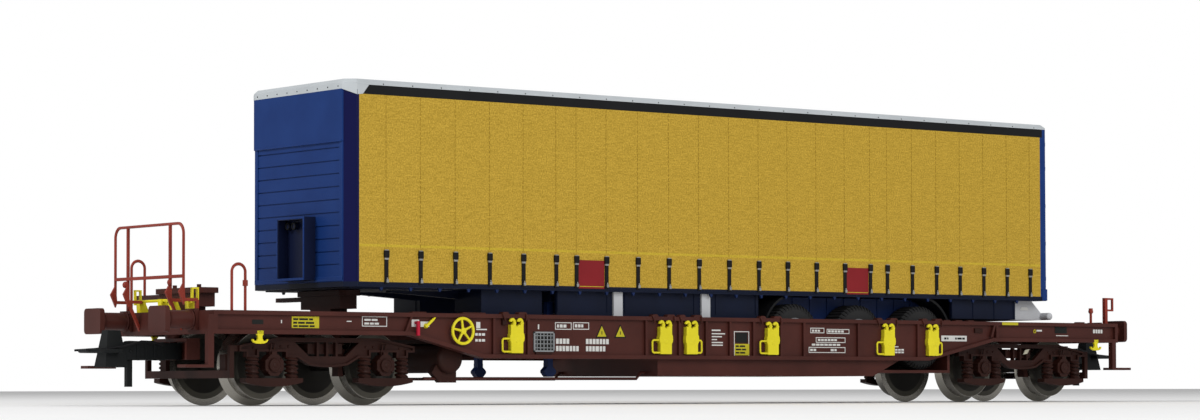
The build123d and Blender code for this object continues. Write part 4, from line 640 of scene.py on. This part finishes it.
# Trailer: seams of the side panels, panels behind the tyres, tube caps of the underrun guard, and its slot
# drawn as a pale raised patch, a painted highlight
panel_face = 13.2
panel_rib_places = (-31.4, -21.0, -17.2, -2.2, 2.6, 11.6, 58.7, 64.0, 69.4, 74.4)
rib_half_width = 0.12
panel_rib_rows = [
    # x0, x1, z0, z1, rise, depth
    (x - rib_half_width, x + rib_half_width, 15.3, 18.6, 0.12, 0.05) for x in panel_rib_places
]
axle_panel_heights = (14.0, 18.58)
arch_radius = 7.0
arch_steps = 6
axle_rib_count = 9
axle_rib_first = 19.2
axle_rib_pitch = 4.05
guard_face = 11.9
guard_slot = [(77.2, 17.0), (79.6, 17.0), (79.1, 17.6), (77.7, 17.6)]


def build_axle_panels(bm):
    """Panels between the mudguards; their ends follow the arcs around the first and the last tyre."""
    places = list(trailer_axle_places.values())
    low, high = axle_panel_heights
    curve = []
    for k in range(arch_steps + 1):
        z = low + (high - low) * k / arch_steps
        curve.append((math.sqrt(arch_radius ** 2 - (z - tyre_height) ** 2), z))
    outline = [(places[0] - reach, z) for reach, z in curve]
    outline += [(places[-1] + reach, z) for reach, z in reversed(curve)]
    for side in signs:
        add_prism(bm, outline, span(side, 9.25, 9.60))
        for k in range(axle_rib_count):
            x = axle_rib_first + axle_rib_pitch * k
            width = (x - rib_half_width, x + rib_half_width)
            add_box(bm, width, span(side, 9.5, 9.75), axle_panel_heights)


# Pale patches in the shape of the guard's slots, standing out from its face: a painted highlight.
def build_guard_highlights(bm):
    for side in signs:
        add_prism(bm, guard_slot, span(side, guard_face - 0.05, guard_face + 0.1))


def build_tube_caps(bm):
    for side in signs:
        add_rivet(bm, (83.2, side * 13.8, 15.875), (0, side, 0), radius=0.66, height=0.3, sides=16)


make_plates("panel_ribs", "chassis_blue", navy_and_painted_shade, panel_face, panel_rib_rows)
make_piece("axle_panels", "wagon", "chassis_blue", leg_blue, build_axle_panels)
make_piece("guard_slot_highlights", "wagon", "grey_plastic", white, build_guard_highlights)
make_piece("guard_tube_caps", "wagon", "grey_plastic", post_grey, build_tube_caps)


# Trailer wheels: ribbed treads, rims with a ring of nuts
tread_ribs = 44
tread_rib_half_width = 0.19
tread_profile = [
    # radius, y outward
    (5.2, 10.3), (5.68, 10.3), (5.68, 13.55), (5.20, 14.08), (4.75, 14.08), (5.2, 13.4),
]
rim_rings = [
    # y outward, radius, thickness, points
    (13.93, 3.1, 0.16, 32),
    (13.3, 2.05, 0.12, 24),
]
nut_count = 8
nut_circle = 1.1
nut_face = 13.66


def build_treads(bm, x):
    for side in signs:
        for k in range(tread_ribs):
            turn = 2 * math.pi * k / tread_ribs
            outlines = []
            for shift in (-tread_rib_half_width, tread_rib_half_width):
                outline = []
                for radius, y in tread_profile:
                    px = x + radius * math.cos(turn) - shift * math.sin(turn)
                    pz = tyre_height + radius * math.sin(turn) + shift * math.cos(turn)
                    outline.append((px, side * y, pz))
                outlines.append(outline)
            add_loft(bm, *outlines)


def build_rims(bm, x):
    for side in signs:
        for y, radius, thickness, count in rim_rings:
            add_ring(bm, (x, side * y, tyre_height), "Y", radius, thickness, count, 6)
        for k in range(nut_count):
            turn = 2 * math.pi * k / nut_count
            px = x + nut_circle * math.cos(turn)
            pz = tyre_height + nut_circle * math.sin(turn)
            add_rivet(bm, (px, side * nut_face, pz), (0, side, 0), radius=0.16, height=0.18, sides=6)


for name, x in trailer_axle_places.items():
    make_piece(name + "_tread", name, "tyre_black", tread_black, build_treads, given=[x])
    make_piece(name + "_rim", name, "tyre_black", plate_grey, build_rims, given=[x])


# Locking levers: body with two hooks open to the front, handle loop, all with soft edges
lever_bottom = 8.35
lever_thickness = 0.9
lever_body = [
    # x from the middle of the body, z from its foot
    (-1.14, 0.0), (-1.22, 0.08), (-1.22, 1.75), (-1.38, 2.00), (-1.44, 2.45), (-1.38, 2.95), (-1.26, 3.25),
    (-1.26, 4.62), (-0.30, 4.62), (-0.12, 4.35), (0.12, 4.35), (0.30, 4.62), (1.28, 4.62), (1.28, 3.35),
    (1.44, 3.05), (1.50, 2.45), (1.42, 2.00), (1.22, 1.75), (1.22, 0.08), (1.14, 0.0),
]
lever_stem = [
    # x from the middle of the hook, z from the foot of the body
    (-0.10, 4.5), (0.50, 4.5), (0.62, 4.95), (0.45, 5.10), (0.20, 4.90), (0.0, 4.80),
]
lever_hooks = (-0.74, 0.78)
hook_height = 5.06
hook_radius = 0.40
loop_inner = 1.10
loop_outer = 2.4
loop_bottom = 0.25
loop_top = 2.35
loop_corner = 0.35


def add_lever(bm, x, handle_side, side):
    low, high = span(side, web_face, web_face + lever_thickness)
    centre = x + (0.20 if handle_side > 0 else 0.40)
    add_prism(bm, [(centre + a, lever_bottom + b) for a, b in lever_body], (low, high))
    for ear in lever_hooks:
        hook = arc_points(centre + ear, lever_bottom + hook_height, hook_radius, -70, 175, 14)
        add_tube(bm, [(a, side * (web_face + 0.5), b) for a, b in hook], 0.29, 10)
        stem = [(centre + ear + a, lever_bottom + b) for a, b in lever_stem]
        add_prism(bm, stem, (low + 0.06, high - 0.06))
    middle = side * (web_face + 0.62)
    inner = handle_side * loop_inner
    outer = x - centre + handle_side * loop_outer - handle_side * loop_corner
    top = loop_top - loop_corner
    bottom = loop_bottom + loop_corner
    loop = []
    for quarter, (cx, cz) in enumerate(((outer, top), (inner, top), (inner, bottom), (outer, bottom))):
        for px, pz in arc_points(0, 0, loop_corner, 90 * quarter, 90 * quarter + 90, 4):
            loop.append((centre + cx + handle_side * px, middle, lever_bottom + cz + pz))
    add_tube(bm, loop, 0.18, 8, closed=True)


def build_levers(bm, side):
    for x, handle_side in lever_table:
        add_lever(bm, x, handle_side, side)


def build_lever_bosses(bm):
    for side in signs:
        for x, _ in lever_table:
            boss = (x + 0.35, side * (web_face + lever_thickness), lever_bottom + 2.1)
            add_rivet(bm, boss, (0, side, 0), radius=0.45, height=0.06, sides=16)


for side, name in ((-1, "near"), (1, "far")):
    lever_piece = make_piece("levers_" + name, "wagon", "yellow_plastic", yellow, build_levers, bevel=0.07,
                             given=[side])
    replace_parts(lever_piece, "locking_levers_" + name)
make_piece("lever_bosses", "wagon", "yellow_plastic", yellow, build_lever_bosses)


# Wagon: hinge humps over the levers, hinge arms, pads, knees where the sill's depth changes, small boxes
hinge_humps = [
    # start from the lever's place, length
    (-2.2, 1.1),
    (0.95, 1.6),
]
hinge_arms = [
    # place from the lever's place, lean along X
    (-2.35, 0.55),
    (2.35, 0.10),
]
hinge_arm_path = [
    # share of the lean, y outward, z
    (0.0, 16.0, sill_top + 0.12),
    (0.1, 16.35, sill_top - 0.1),
    (0.5, 16.35, 14.15),
    (1.0, 16.1, 13.6),
]
hump_foot = sill_top - 0.05
hump_shoulder = sill_top + 0.25
hump_top = sill_top + 0.38
pad_ends = [(-62.4, -59.6), (-52.5, -48.0), (54.0, 55.6), (57.0, 58.6), (60.0, 61.6), (88.6, 90.4)]
knee_outlines = [
    [(66.9, 11.6), (67.4, 11.6), (67.4, 14.2), (66.9, 14.2)],
    [(65.5, 11.9), (66.0, 11.9), (66.9, 14.2), (66.4, 14.2)],
    [(-63.9, 11.7), (-63.5, 11.7), (-62.4, 14.1), (-62.8, 14.1)],
]
small_box_rows = [
    # x0, x1, z0, z1, rise, depth
    (-37.9, -34.7, 8.15, 8.62, 0.35, 0.0),
    (-44.7, -43.9, 12.9, 14.0, 0.45, 0.0),
    (61.8, 63.8, 12.6, 13.4, 0.3, 0.0),
]


def build_hinges(bm):
    for side in signs:
        for x, _ in lever_table:
            for start, length in hinge_humps:
                a = x + start
                outline = [(a - 0.15, hump_foot), (a, hump_shoulder), (a + 0.2, hump_top),
                           (a + length - 0.2, hump_top), (a + length, hump_shoulder),
                           (a + length + 0.15, hump_foot)]
                add_prism(bm, outline, span(side, 15.0, sill_face))
            for offset, lean in hinge_arms:
                arm = [(x + offset + share * lean, side * y, z) for share, y, z in hinge_arm_path]
                add_tube(bm, arm, 0.17, 8)
        for ends in pad_ends:
            add_box(bm, ends, span(side, 14.9, 15.9), (hump_foot, sill_top + 0.2))


def build_knees(bm):
    for side in signs:
        for outline in knee_outlines:
            add_prism(bm, outline, span(side, web_face - 0.02, sill_face + 0.05))


make_piece("hinges", "wagon", "wagon_brown", brown, build_hinges, bevel=0.06)
make_piece("knees", "wagon", "wagon_brown", brown, build_knees, bevel=0.05)
make_plates("small_boxes", "wagon_brown", underpart_brown_painted_shade, web_face, small_box_rows, bevel=0.05)


# Wagon: blank marking plates and frames on the webs, near side and mirrored to the far side
frame_marks = [
    # x0, x1, z0, z1
    (-71.74, -67.01, 12.4, 14.0),
    (-33.79, -30.39, 12.28, 13.48),
    (-30.08, -26.75, 12.32, 13.52),
    (4.62, 8.0, 7.98, 12.36),
    (22.06, 25.3, 12.2, 13.13),
    (25.89, 31.2, 12.12, 12.96),
    (23.33, 30.26, 10.54, 11.49),
    (21.66, 30.25, 8.76, 9.78),
]
white_marks = [
    # x0, x1, z0, z1
    (53.56, 59.94, 11.02, 12.04),
    (-62.3, -60.85, 12.45, 13.6),
    (-60.6, -58.9, 12.45, 13.3),
    (-49.7, -48.9, 12.35, 13.35),
    (-49.7, -47.6, 12.05, 12.25),
    (83.01, 86.19, 12.19, 12.33),
    (-0.34, 1.6, 12.35, 12.6),
    (-0.34, 2.6, 11.8, 12.0),
    (-0.34, 1.9, 11.3, 11.5),
    (-0.34, 0.8, 10.8, 11.0),
    (-0.34, 2.1, 10.3, 10.5),
    (-0.34, 2.1, 9.85, 10.05),
]
yellow_marks = [
    # x0, x1, z0, z1
    (-84.76, -79.75, 12.04, 13.84),
    (4.72, 8.0, 8.25, 10.2),
]
dark_marks = [
    # x0, x1, z0, z1
    (-91.9, -89.9, 12.56, 13.25),
    (4.96, 7.6, 10.4, 12.1),
    (82.68, 85.85, 12.69, 13.89),
    (-38.05, -34.25, 8.75, 11.75),
]
label_rows = [
    # x0, z0, widths of the dark bars in the row, height
    (-84.5, 13.25, (0.9, 1.6, 0.7), 0.3),
    (-84.5, 12.7, (0.7, 1.2, 1.5), 0.3),
    (-84.5, 12.2, (0.8, 1.8, 0.9), 0.28),
    (4.95, 9.65, (0.7, 1.2), 0.3),
    (4.95, 9.1, (1.2, 0.9), 0.28),
    (4.95, 8.55, (0.8, 1.1), 0.28),
    (-24.18, 11.55, (0.16,), 0.55),
    (-20.28, 11.55, (0.16,), 0.55),
    (54.3, 11.35, (0.5, 0.3), 0.35),
    (57.0, 11.35, (0.4, 1.0, 0.6), 0.35),
]
bar_rows = [
    # x0, z0, widths of the plain bars in the row, height
    (-33.6, 9.95, (0.55,) * 4, 0.85),
    (-27.4, 9.95, (0.55, 0.55, 0.55, 0.55, 0.5, 0.5, 0.55), 0.85),
    (-33.6, 8.75, (0.5, 0.5, 0.5, 0.65, 0.5, 0.5, 0.5), 0.85),
    (-27.4, 8.75, (0.5, 0.5, 0.5, 0.7, 0.5, 0.5), 0.85),
    (-49.9, 11.15, (0.5, 0.5, 0.6), 0.4),
    (-49.9, 10.2, (0.5, 0.5, 0.6), 0.4),
    (92.9, 12.8, (0.5,) * 4, 0.7),
    (-74.6, 13.1, (0.9,), 0.16),
    (77.9, 13.0, (1.4,), 0.3),
    (-86.7, 12.75, (0.18,), 0.5),
    (-37.3, 12.3, (0.25,), 0.8),
    (41.4, 10.3, (0.9,), 0.22),
    (41.4, 9.85, (1.6,), 0.18),
    (41.4, 9.25, (0.6,) * 4, 0.3),
    (41.4, 8.8, (0.6,) * 4, 0.3),
    (-33.4, 12.62, (0.4, 0.6, 0.6), 0.5),
    (-29.7, 12.68, (0.5, 0.5, 0.4), 0.5),
    (-71.3, 12.72, (0.9, 0.7, 0.8), 0.3),
    (-71.3, 13.3, (1.2, 1.1), 0.3),
    (22.45, 12.45, (0.5,) * 3, 0.36),
    (26.2, 12.36, (0.6,) * 5, 0.36),
    (23.8, 10.84, (0.6,) * 6, 0.36),
    (22.4, 10.02, (0.8,) * 7, 0.34),
    (22.0, 9.06, (0.6, 0.6), 0.4),
    (26.8, 9.06, (0.7, 0.5), 0.4),
]
bar_gap = 0.17
label_gap = 0.2
mark_sink = 0.01
mark_skin = 0.04
triangle_places = (-24.1, -20.2)


def add_mark(bm, side, x0, x1, z0, z1, rise=mark_skin):
    add_plate(bm, side, web_face, (x0, x1), (z0, z1), rise, mark_sink)


def add_mark_rows(bm, side, rows, gap, rise=mark_skin):
    for x, z, widths, height in rows:
        for width in widths:
            add_mark(bm, side, x, x + width, z, z + height, rise)
            x += width + gap


def add_triangles(bm, side, foot, half_width, height, rise):
    for x in triangle_places:
        outline = [(x - half_width, foot), (x + half_width, foot), (x, foot + height)]
        add_prism(bm, outline, span(side, web_face - mark_sink, web_face + rise))


def build_white_marks(bm):
    line = 0.13
    for side in signs:
        for x0, x1, z0, z1 in frame_marks:
            add_mark(bm, side, x0, x1, z0, z0 + line)
            add_mark(bm, side, x0, x1, z1 - line, z1)
            add_mark(bm, side, x0, x0 + line, z0 + line, z1 - line)
            add_mark(bm, side, x1 - line, x1, z0 + line, z1 - line)
        for mark in white_marks:
            add_mark(bm, side, *mark)
        add_mark_rows(bm, side, bar_rows, bar_gap)


def build_yellow_marks(bm):
    for side in signs:
        for mark in yellow_marks:
            add_mark(bm, side, *mark, rise=0.06)
        add_triangles(bm, side, foot=11.2, half_width=0.95, height=1.75, rise=0.08)
        add_plate(bm, side, sill_face + 0.01, (68.4, 72.5), (14.08, 14.6), rise=0.03, sink=0.02)
        add_ring(bm, (77.4, side * (web_face + 0.02), 13.0), "Y", 0.28, 0.09, 16, 6)


def build_dark_marks(bm):
    for side in signs:
        for mark in dark_marks:
            add_mark(bm, side, *mark, rise=0.05)
        add_mark_rows(bm, side, label_rows, label_gap, rise=0.09)
        add_triangles(bm, side, foot=11.0, half_width=1.25, height=2.25, rise=0.05)


make_piece("white_marks", "wagon", "grey_plastic", white, build_white_marks)
make_piece("yellow_marks", "wagon", "yellow_plastic", label_yellow, build_yellow_marks)
make_piece("dark_marks", "wagon", "black_plastic", plate_dark, build_dark_marks)


# Wagon: handwheels, load levers, grids and rope hooks in finer shapes
handwheel_place = -52.9
handwheel_height = 11.85
handwheel_radius = 2.02
handwheel_hub = [
    # distance outward, radius
    (-0.95, 0.30), (-0.1, 0.36), (0.12, 0.56), (0.26, 0.50), (0.33, 0.30),
]
load_lever = [
    # x, z, radius
    (-59.85, 12.40, 0.27), (-59.2, 12.95, 0.25), (-58.35, 13.65, 0.22), (-57.95, 14.0, 0.14),
]
grid_ends = (-38.25, -34.05)
grid_heights = (8.6, 11.9)
grid_columns = 6
grid_rows = 5
rope_hook_places = (-90.75, 93.15)
rope_hook_outline = [
    # x from the hook's place, z
    (-0.68, 11.65), (0.68, 11.65), (0.60, 10.95), (0.40, 10.75), (0.42, 10.35), (0.62, 9.98),
    (1.02, 9.98), (1.18, 10.22), (1.38, 10.30), (1.46, 10.12), (1.20, 9.76), (0.70, 9.58),
    (0.0, 9.54), (-0.70, 9.58), (-1.20, 9.76), (-1.46, 10.12), (-1.38, 10.30), (-1.18, 10.22),
    (-1.02, 9.98), (-0.62, 10.02), (-0.42, 10.35), (-0.40, 10.75), (-0.60, 10.95),
]


def build_handwheels(bm):
    for side in signs:
        centre = (handwheel_place, side * (sill_face + 0.25), handwheel_height)
        add_ring(bm, centre, "Y", handwheel_radius, 0.25, 40, 8)
        for k in range(5):
            turn = math.radians(97 - 72 * k)
            tip = (handwheel_place + handwheel_radius * math.cos(turn), centre[1],
                   handwheel_height + handwheel_radius * math.sin(turn))
            add_tube(bm, [centre, tip], [0.24, 0.17], 8)
        add_turned(bm, centre, (0, side, 0), handwheel_hub, 16)


def build_load_levers(bm):
    for side in signs:
        y = side * (web_face + 0.35)
        add_tube(bm, [(x, y, z) for x, z, _ in load_lever], [radius for _, _, radius in load_lever], 10)
        add_rivet(bm, (-59.6, side * web_face, 12.6), (0, side, 0), radius=0.42, height=0.42, sides=14)


def build_grids(bm):
    x0, x1 = grid_ends
    z0, z1 = grid_heights
    width = 0.26
    half = 0.065
    for side in signs:
        for x, z in ((grid_ends, (z0, z0 + width)), (grid_ends, (z1 - width, z1)),
                     ((x0, x0 + width), grid_heights), ((x1 - width, x1), grid_heights)):
            add_plate(bm, side, web_face, x, z, rise=0.28, sink=0.01)
        for k in range(1, grid_columns):
            x = x0 + (x1 - x0) * k / grid_columns
            add_plate(bm, side, web_face, (x - half, x + half), grid_heights, rise=0.18, sink=0.01)
        for k in range(1, grid_rows):
            z = z0 + (z1 - z0) * k / grid_rows
            add_plate(bm, side, web_face, grid_ends, (z - half, z + half), rise=0.18, sink=0.01)


def build_rope_hooks(bm):
    for side in signs:
        for x in rope_hook_places:
            outline = [(x + a, z) for a, z in rope_hook_outline]
            add_prism(bm, outline, span(side, web_face + 0.14, web_face + 0.6))


for name, node, slot, material, build, bevel in (
    ("fine_handwheels", "handwheels", "yellow_plastic", yellow, build_handwheels, 0.0),
    ("fine_load_levers", "load_levers", "yellow_plastic", yellow, build_load_levers, 0.0),
    ("fine_grids", "grid_plates", "grey_plastic", plate_grey, build_grids, 0.02),
    ("fine_rope_hooks", "rope_hooks", "yellow_plastic", yellow, build_rope_hooks, 0.08),
):
    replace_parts(make_piece(name, "wagon", slot, material, build, bevel), node)


# Wagon: bolts and collar of the railing, valve knobs, rims of the buffers, ends of the air reservoir
buffer_place = 10.05
buffer_height = 13.3
reservoir_x = -52.65
reservoir_z = 7.55
reservoir_face = 12.5
reservoir_end = [
    # distance outward, radius
    (-0.05, 2.40), (0.14, 2.30), (0.28, 2.0), (0.38, 1.4), (0.42, 0.5),
]
valve_knob = [
    # distance upward, radius
    (-0.45, 0.15), (-0.34, 0.36), (-0.12, 0.46), (0.12, 0.46), (0.34, 0.36), (0.45, 0.15),
]


def build_railing_knobs(bm):
    for y in (-6.7, 7.1):
        add_rivet(bm, (-101.15, y, 19.0), (-1, 0, 0), radius=0.55, height=0.4, sides=12)
    add_tube(bm, [(-92.7, -14.9, 18.4), (-92.7, -14.9, 19.3)], 0.42, 8)


def build_buffer_rings(bm):
    for end in signs:
        for side in signs:
            y = side * buffer_place
            add_ring(bm, (end * 99.7, y, buffer_height), "X", 1.45, 0.16, 28, 6)
            add_ring(bm, (end * 103.6, y, buffer_height), "X", 1.42, 0.14, 28, 6)
            for dy, dz in four_corners(1.25, 1.25):
                bolt = (end * 99.5, y + dy, buffer_height + dz)
                add_rivet(bm, bolt, (end, 0, 0), radius=0.2, height=0.15, sides=6)


def build_reservoir_ends(bm):
    for side in signs:
        add_turned(bm, (reservoir_x, side * reservoir_face, reservoir_z), (0, side, 0), reservoir_end, 32)
        add_ring(bm, (reservoir_x, side * (reservoir_face - 0.2), reservoir_z), "Y", 2.40, 0.09, 32, 6)


def build_valve_knobs(bm):
    for side in signs:
        add_turned(bm, (93.4, side * 14.6, 16.9), (0, 0, 1), valve_knob, 12)


make_piece("railing_knobs", "wagon", "railing_red", railing_red, build_railing_knobs)
make_piece("valve_knobs", "wagon", "railing_red", railing_red, build_valve_knobs)
make_piece("buffer_rings", "wagon", "wagon_brown", brown, build_buffer_rings)
make_piece("reservoir_ends", "wagon", "wagon_brown", underpart_brown_painted_shade, build_reservoir_ends)


# Bogies: coil springs, axlebox covers, bolts on the side frames, strap over each axlebox
spring_face = 13.07
spring_offset = 3.55
spring_radius = 0.92
spring_bottom = 4.42
spring_top = 7.4
spring_steps = 63
steps_per_turn = 14
frame_bolts = [
    # x from the pivot, z
    (-8.6, 9.2), (-7.2, 9.2), (7.2, 9.2), (8.6, 9.2), (-13.6, 9.0), (13.6, 9.0),
]
axlebox_strap = [
    # x from the axle, y outward, z
    (-0.3, 13.3, 8.6), (-0.3, 13.45, 9.6), (0.3, 13.45, 9.6), (0.3, 13.3, 8.6),
]
window_tag = [(77.0, 8.75), (78.0, 8.95), (78.6, 9.75), (77.5, 9.6)]


def add_spring(bm, x, side):
    points = []
    for k in range(spring_steps + 1):
        turn = 2 * math.pi * k / steps_per_turn
        y = side * spring_face + side * spring_radius * math.sin(turn)
        z = spring_bottom + (spring_top - spring_bottom) * k / spring_steps
        points.append((x + spring_radius * math.cos(turn), y, z))
    add_tube(bm, points, 0.21, 6)


def build_springs(bm, pivot):
    for side in signs:
        for wheel in (-axle_offset, axle_offset):
            for offset in (-spring_offset, spring_offset):
                add_spring(bm, pivot + wheel + offset, side)


def build_axlebox_covers(bm, pivot):
    for side in signs:
        for wheel in (-axle_offset, axle_offset):
            x = pivot + wheel
            add_ring(bm, (x, side * 14.22, wheelset_height), "Y", 0.95, 0.13, 24, 6)
            hub = (x, side * 14.24, wheelset_height)
            add_rivet(bm, hub, (0, side, 0), radius=0.45, height=0.12, sides=12)
            for dx, dz in four_corners(1.15, 1.05):
                bolt = (x + dx, side * 13.93, wheelset_height + dz)
                add_rivet(bm, bolt, (0, side, 0), radius=0.17, height=0.16, sides=6)
            add_box(bm, (x - 0.62, x + 0.62), span(side, 12.9, 13.5), (7.5, 8.75))
            add_box(bm, (x - 1.9, x + 1.9), span(side, 12.6, 13.7), (3.35, 3.62))


def build_frame_bolts(bm, pivot):
    for side in signs:
        for dx, z in frame_bolts:
            add_rivet(bm, (pivot + dx, side * 12.9, z), (0, side, 0), radius=0.22, height=0.18)
        for wheel in (-axle_offset, axle_offset):
            add_tube(bm, [(pivot + wheel + dx, side * y, z) for dx, y, z in axlebox_strap], 0.16, 6)


def build_window_tag(bm):
    add_prism(bm, window_tag, span(-1, 13.0 - 0.1, 13.0 + 0.12))


for body, pivot in bogie_pivots.items():
    make_piece(body + "_springs", body, "wagon_brown", underpart_brown_painted_shade, build_springs, given=[pivot])
    make_piece(body + "_covers", body, "wagon_brown", underpart_brown_painted_shade, build_axlebox_covers, bevel=0.04,
               given=[pivot])
    make_piece(body + "_bolts", body, "wagon_brown", underpart_brown_painted_shade, build_frame_bolts, given=[pivot])
make_piece("window_tag", "bogie_rear", "grey_plastic", cream, build_window_tag)


# Couplers: ribs on the head, rivets through the shank, loops
coupler_rib_places = (98.9, 100.4, 101.9, 103.4)
coupler_rivet_place = 104.9
coupler_loop = [
    # x outward, y outward, z
    (99.4, 1.9, 9.4), (101.5, 2.0, 9.95), (103.4, 2.0, 10.0), (106.5, 1.9, 9.2), (109.2, 1.8, 8.85),
    (113.0, 1.7, 8.6),
]


def build_coupler_ribs(bm, end):
    for x in coupler_rib_places:
        add_box(bm, span(end, x, x + 0.5), (-1.42, 1.42), (7.1, 9.9))
    x = end * coupler_rivet_place
    add_rivet(bm, (x, 0, 9.8), (0, 0, 1), radius=0.6, height=0.3, sides=12)
    for side in signs:
        add_rivet(bm, (x, side * 1.35, 8.5), (0, side, 0), radius=0.35, height=0.2, sides=10)


def build_coupler_loops(bm, end):
    for side in signs:
        add_tube(bm, [(end * x, side * y, z) for x, y, z in coupler_loop], 0.17, 8)


for end, body in ((-1, "coupler_front"), (1, "coupler_rear")):
    make_piece(body + "_ribs", body, "black_plastic", coupler_grey, build_coupler_ribs, bevel=0.06,
               given=[end])
    make_piece(body + "_loops", body, "black_plastic", black, build_coupler_loops, given=[end])


# Stage: pale floor, lights and camera, in metres
camera_place = (-0.3513, -0.4350, 0.0026)
camera_yaw = math.radians(37.20)
camera_pitch = math.radians(1.974)
camera_roll = math.radians(-0.110)


def make_floor():
    floor_mesh = bpy.data.meshes.new("floor")
    reach = 4.0
    corners = [(-reach, -reach, 0), (reach, -reach, 0), (reach, reach, 0), (-reach, reach, 0)]
    floor_mesh.from_pydata(corners, [], [(0, 1, 2, 3)])
    floor = bpy.data.objects.new("floor", floor_mesh)
    bpy.context.collection.objects.link(floor)
    material, tree, shader = new_material("floor_white")
    stain = noise_value(tree, floor_scale)
    tone = ramp_between(tree, stain, 0.3, 0.7, (0.93,) * 3, (0.96,) * 3)
    tree.links.new(tone, shader.inputs["Base Color"])
    shader.inputs["Roughness"].default_value = 0.7
    floor_mesh.materials.append(material)
    return floor


def make_light(name, location, target, size, power):
    light = bpy.data.lights.new(name, "AREA")
    light.shape = "DISK"
    light.size = size
    light.energy = power
    lamp = bpy.data.objects.new(name, light)
    bpy.context.collection.objects.link(lamp)
    lamp.location = location
    lamp.rotation_euler = (Vector(target) - Vector(location)).to_track_quat("-Z", "Y").to_euler()


make_floor()
make_light("key_light", (-0.80, 0.22, 0.62), target=(-0.04, 0, 0.03), size=0.30, power=4.6)
make_light("front_light", (-0.10, -1.15, 0.60), target=(0, 0, 0.03), size=0.9, power=8.0)
world = bpy.data.worlds.new("studio")
world.use_nodes = True
background = world.node_tree.nodes["Background"]
background.inputs["Color"].default_value = (1, 1, 1, 1)
rays = world.node_tree.nodes.new("ShaderNodeLightPath")
glow = world.node_tree.nodes.new("ShaderNodeMapRange")
glow.inputs["To Min"].default_value = 0.45
glow.inputs["To Max"].default_value = 1.0
world.node_tree.links.new(rays.outputs["Is Camera Ray"], glow.inputs["Value"])
world.node_tree.links.new(glow.outputs["Result"], background.inputs["Strength"])
bpy.context.scene.world = world

camera_data = bpy.data.cameras.new("camera")
camera_data.sensor_width = 36
camera_data.lens = 96.291
camera_data.shift_x = 0.03425
camera_data.shift_y = 0.05667
camera_data.clip_start = 0.01
camera_data.clip_end = 20
camera = bpy.data.objects.new("camera", camera_data)
bpy.context.collection.objects.link(camera)
camera.matrix_world = (
    Matrix.Translation(camera_place)
    @ Matrix.Rotation(-camera_yaw, 4, "Z")
    @ Matrix.Rotation(math.pi / 2 + camera_pitch, 4, "X")
    @ Matrix.Rotation(camera_roll, 4, "Z")
)
bpy.context.scene.camera = camera
bpy.context.scene.view_settings.view_transform = "Standard"
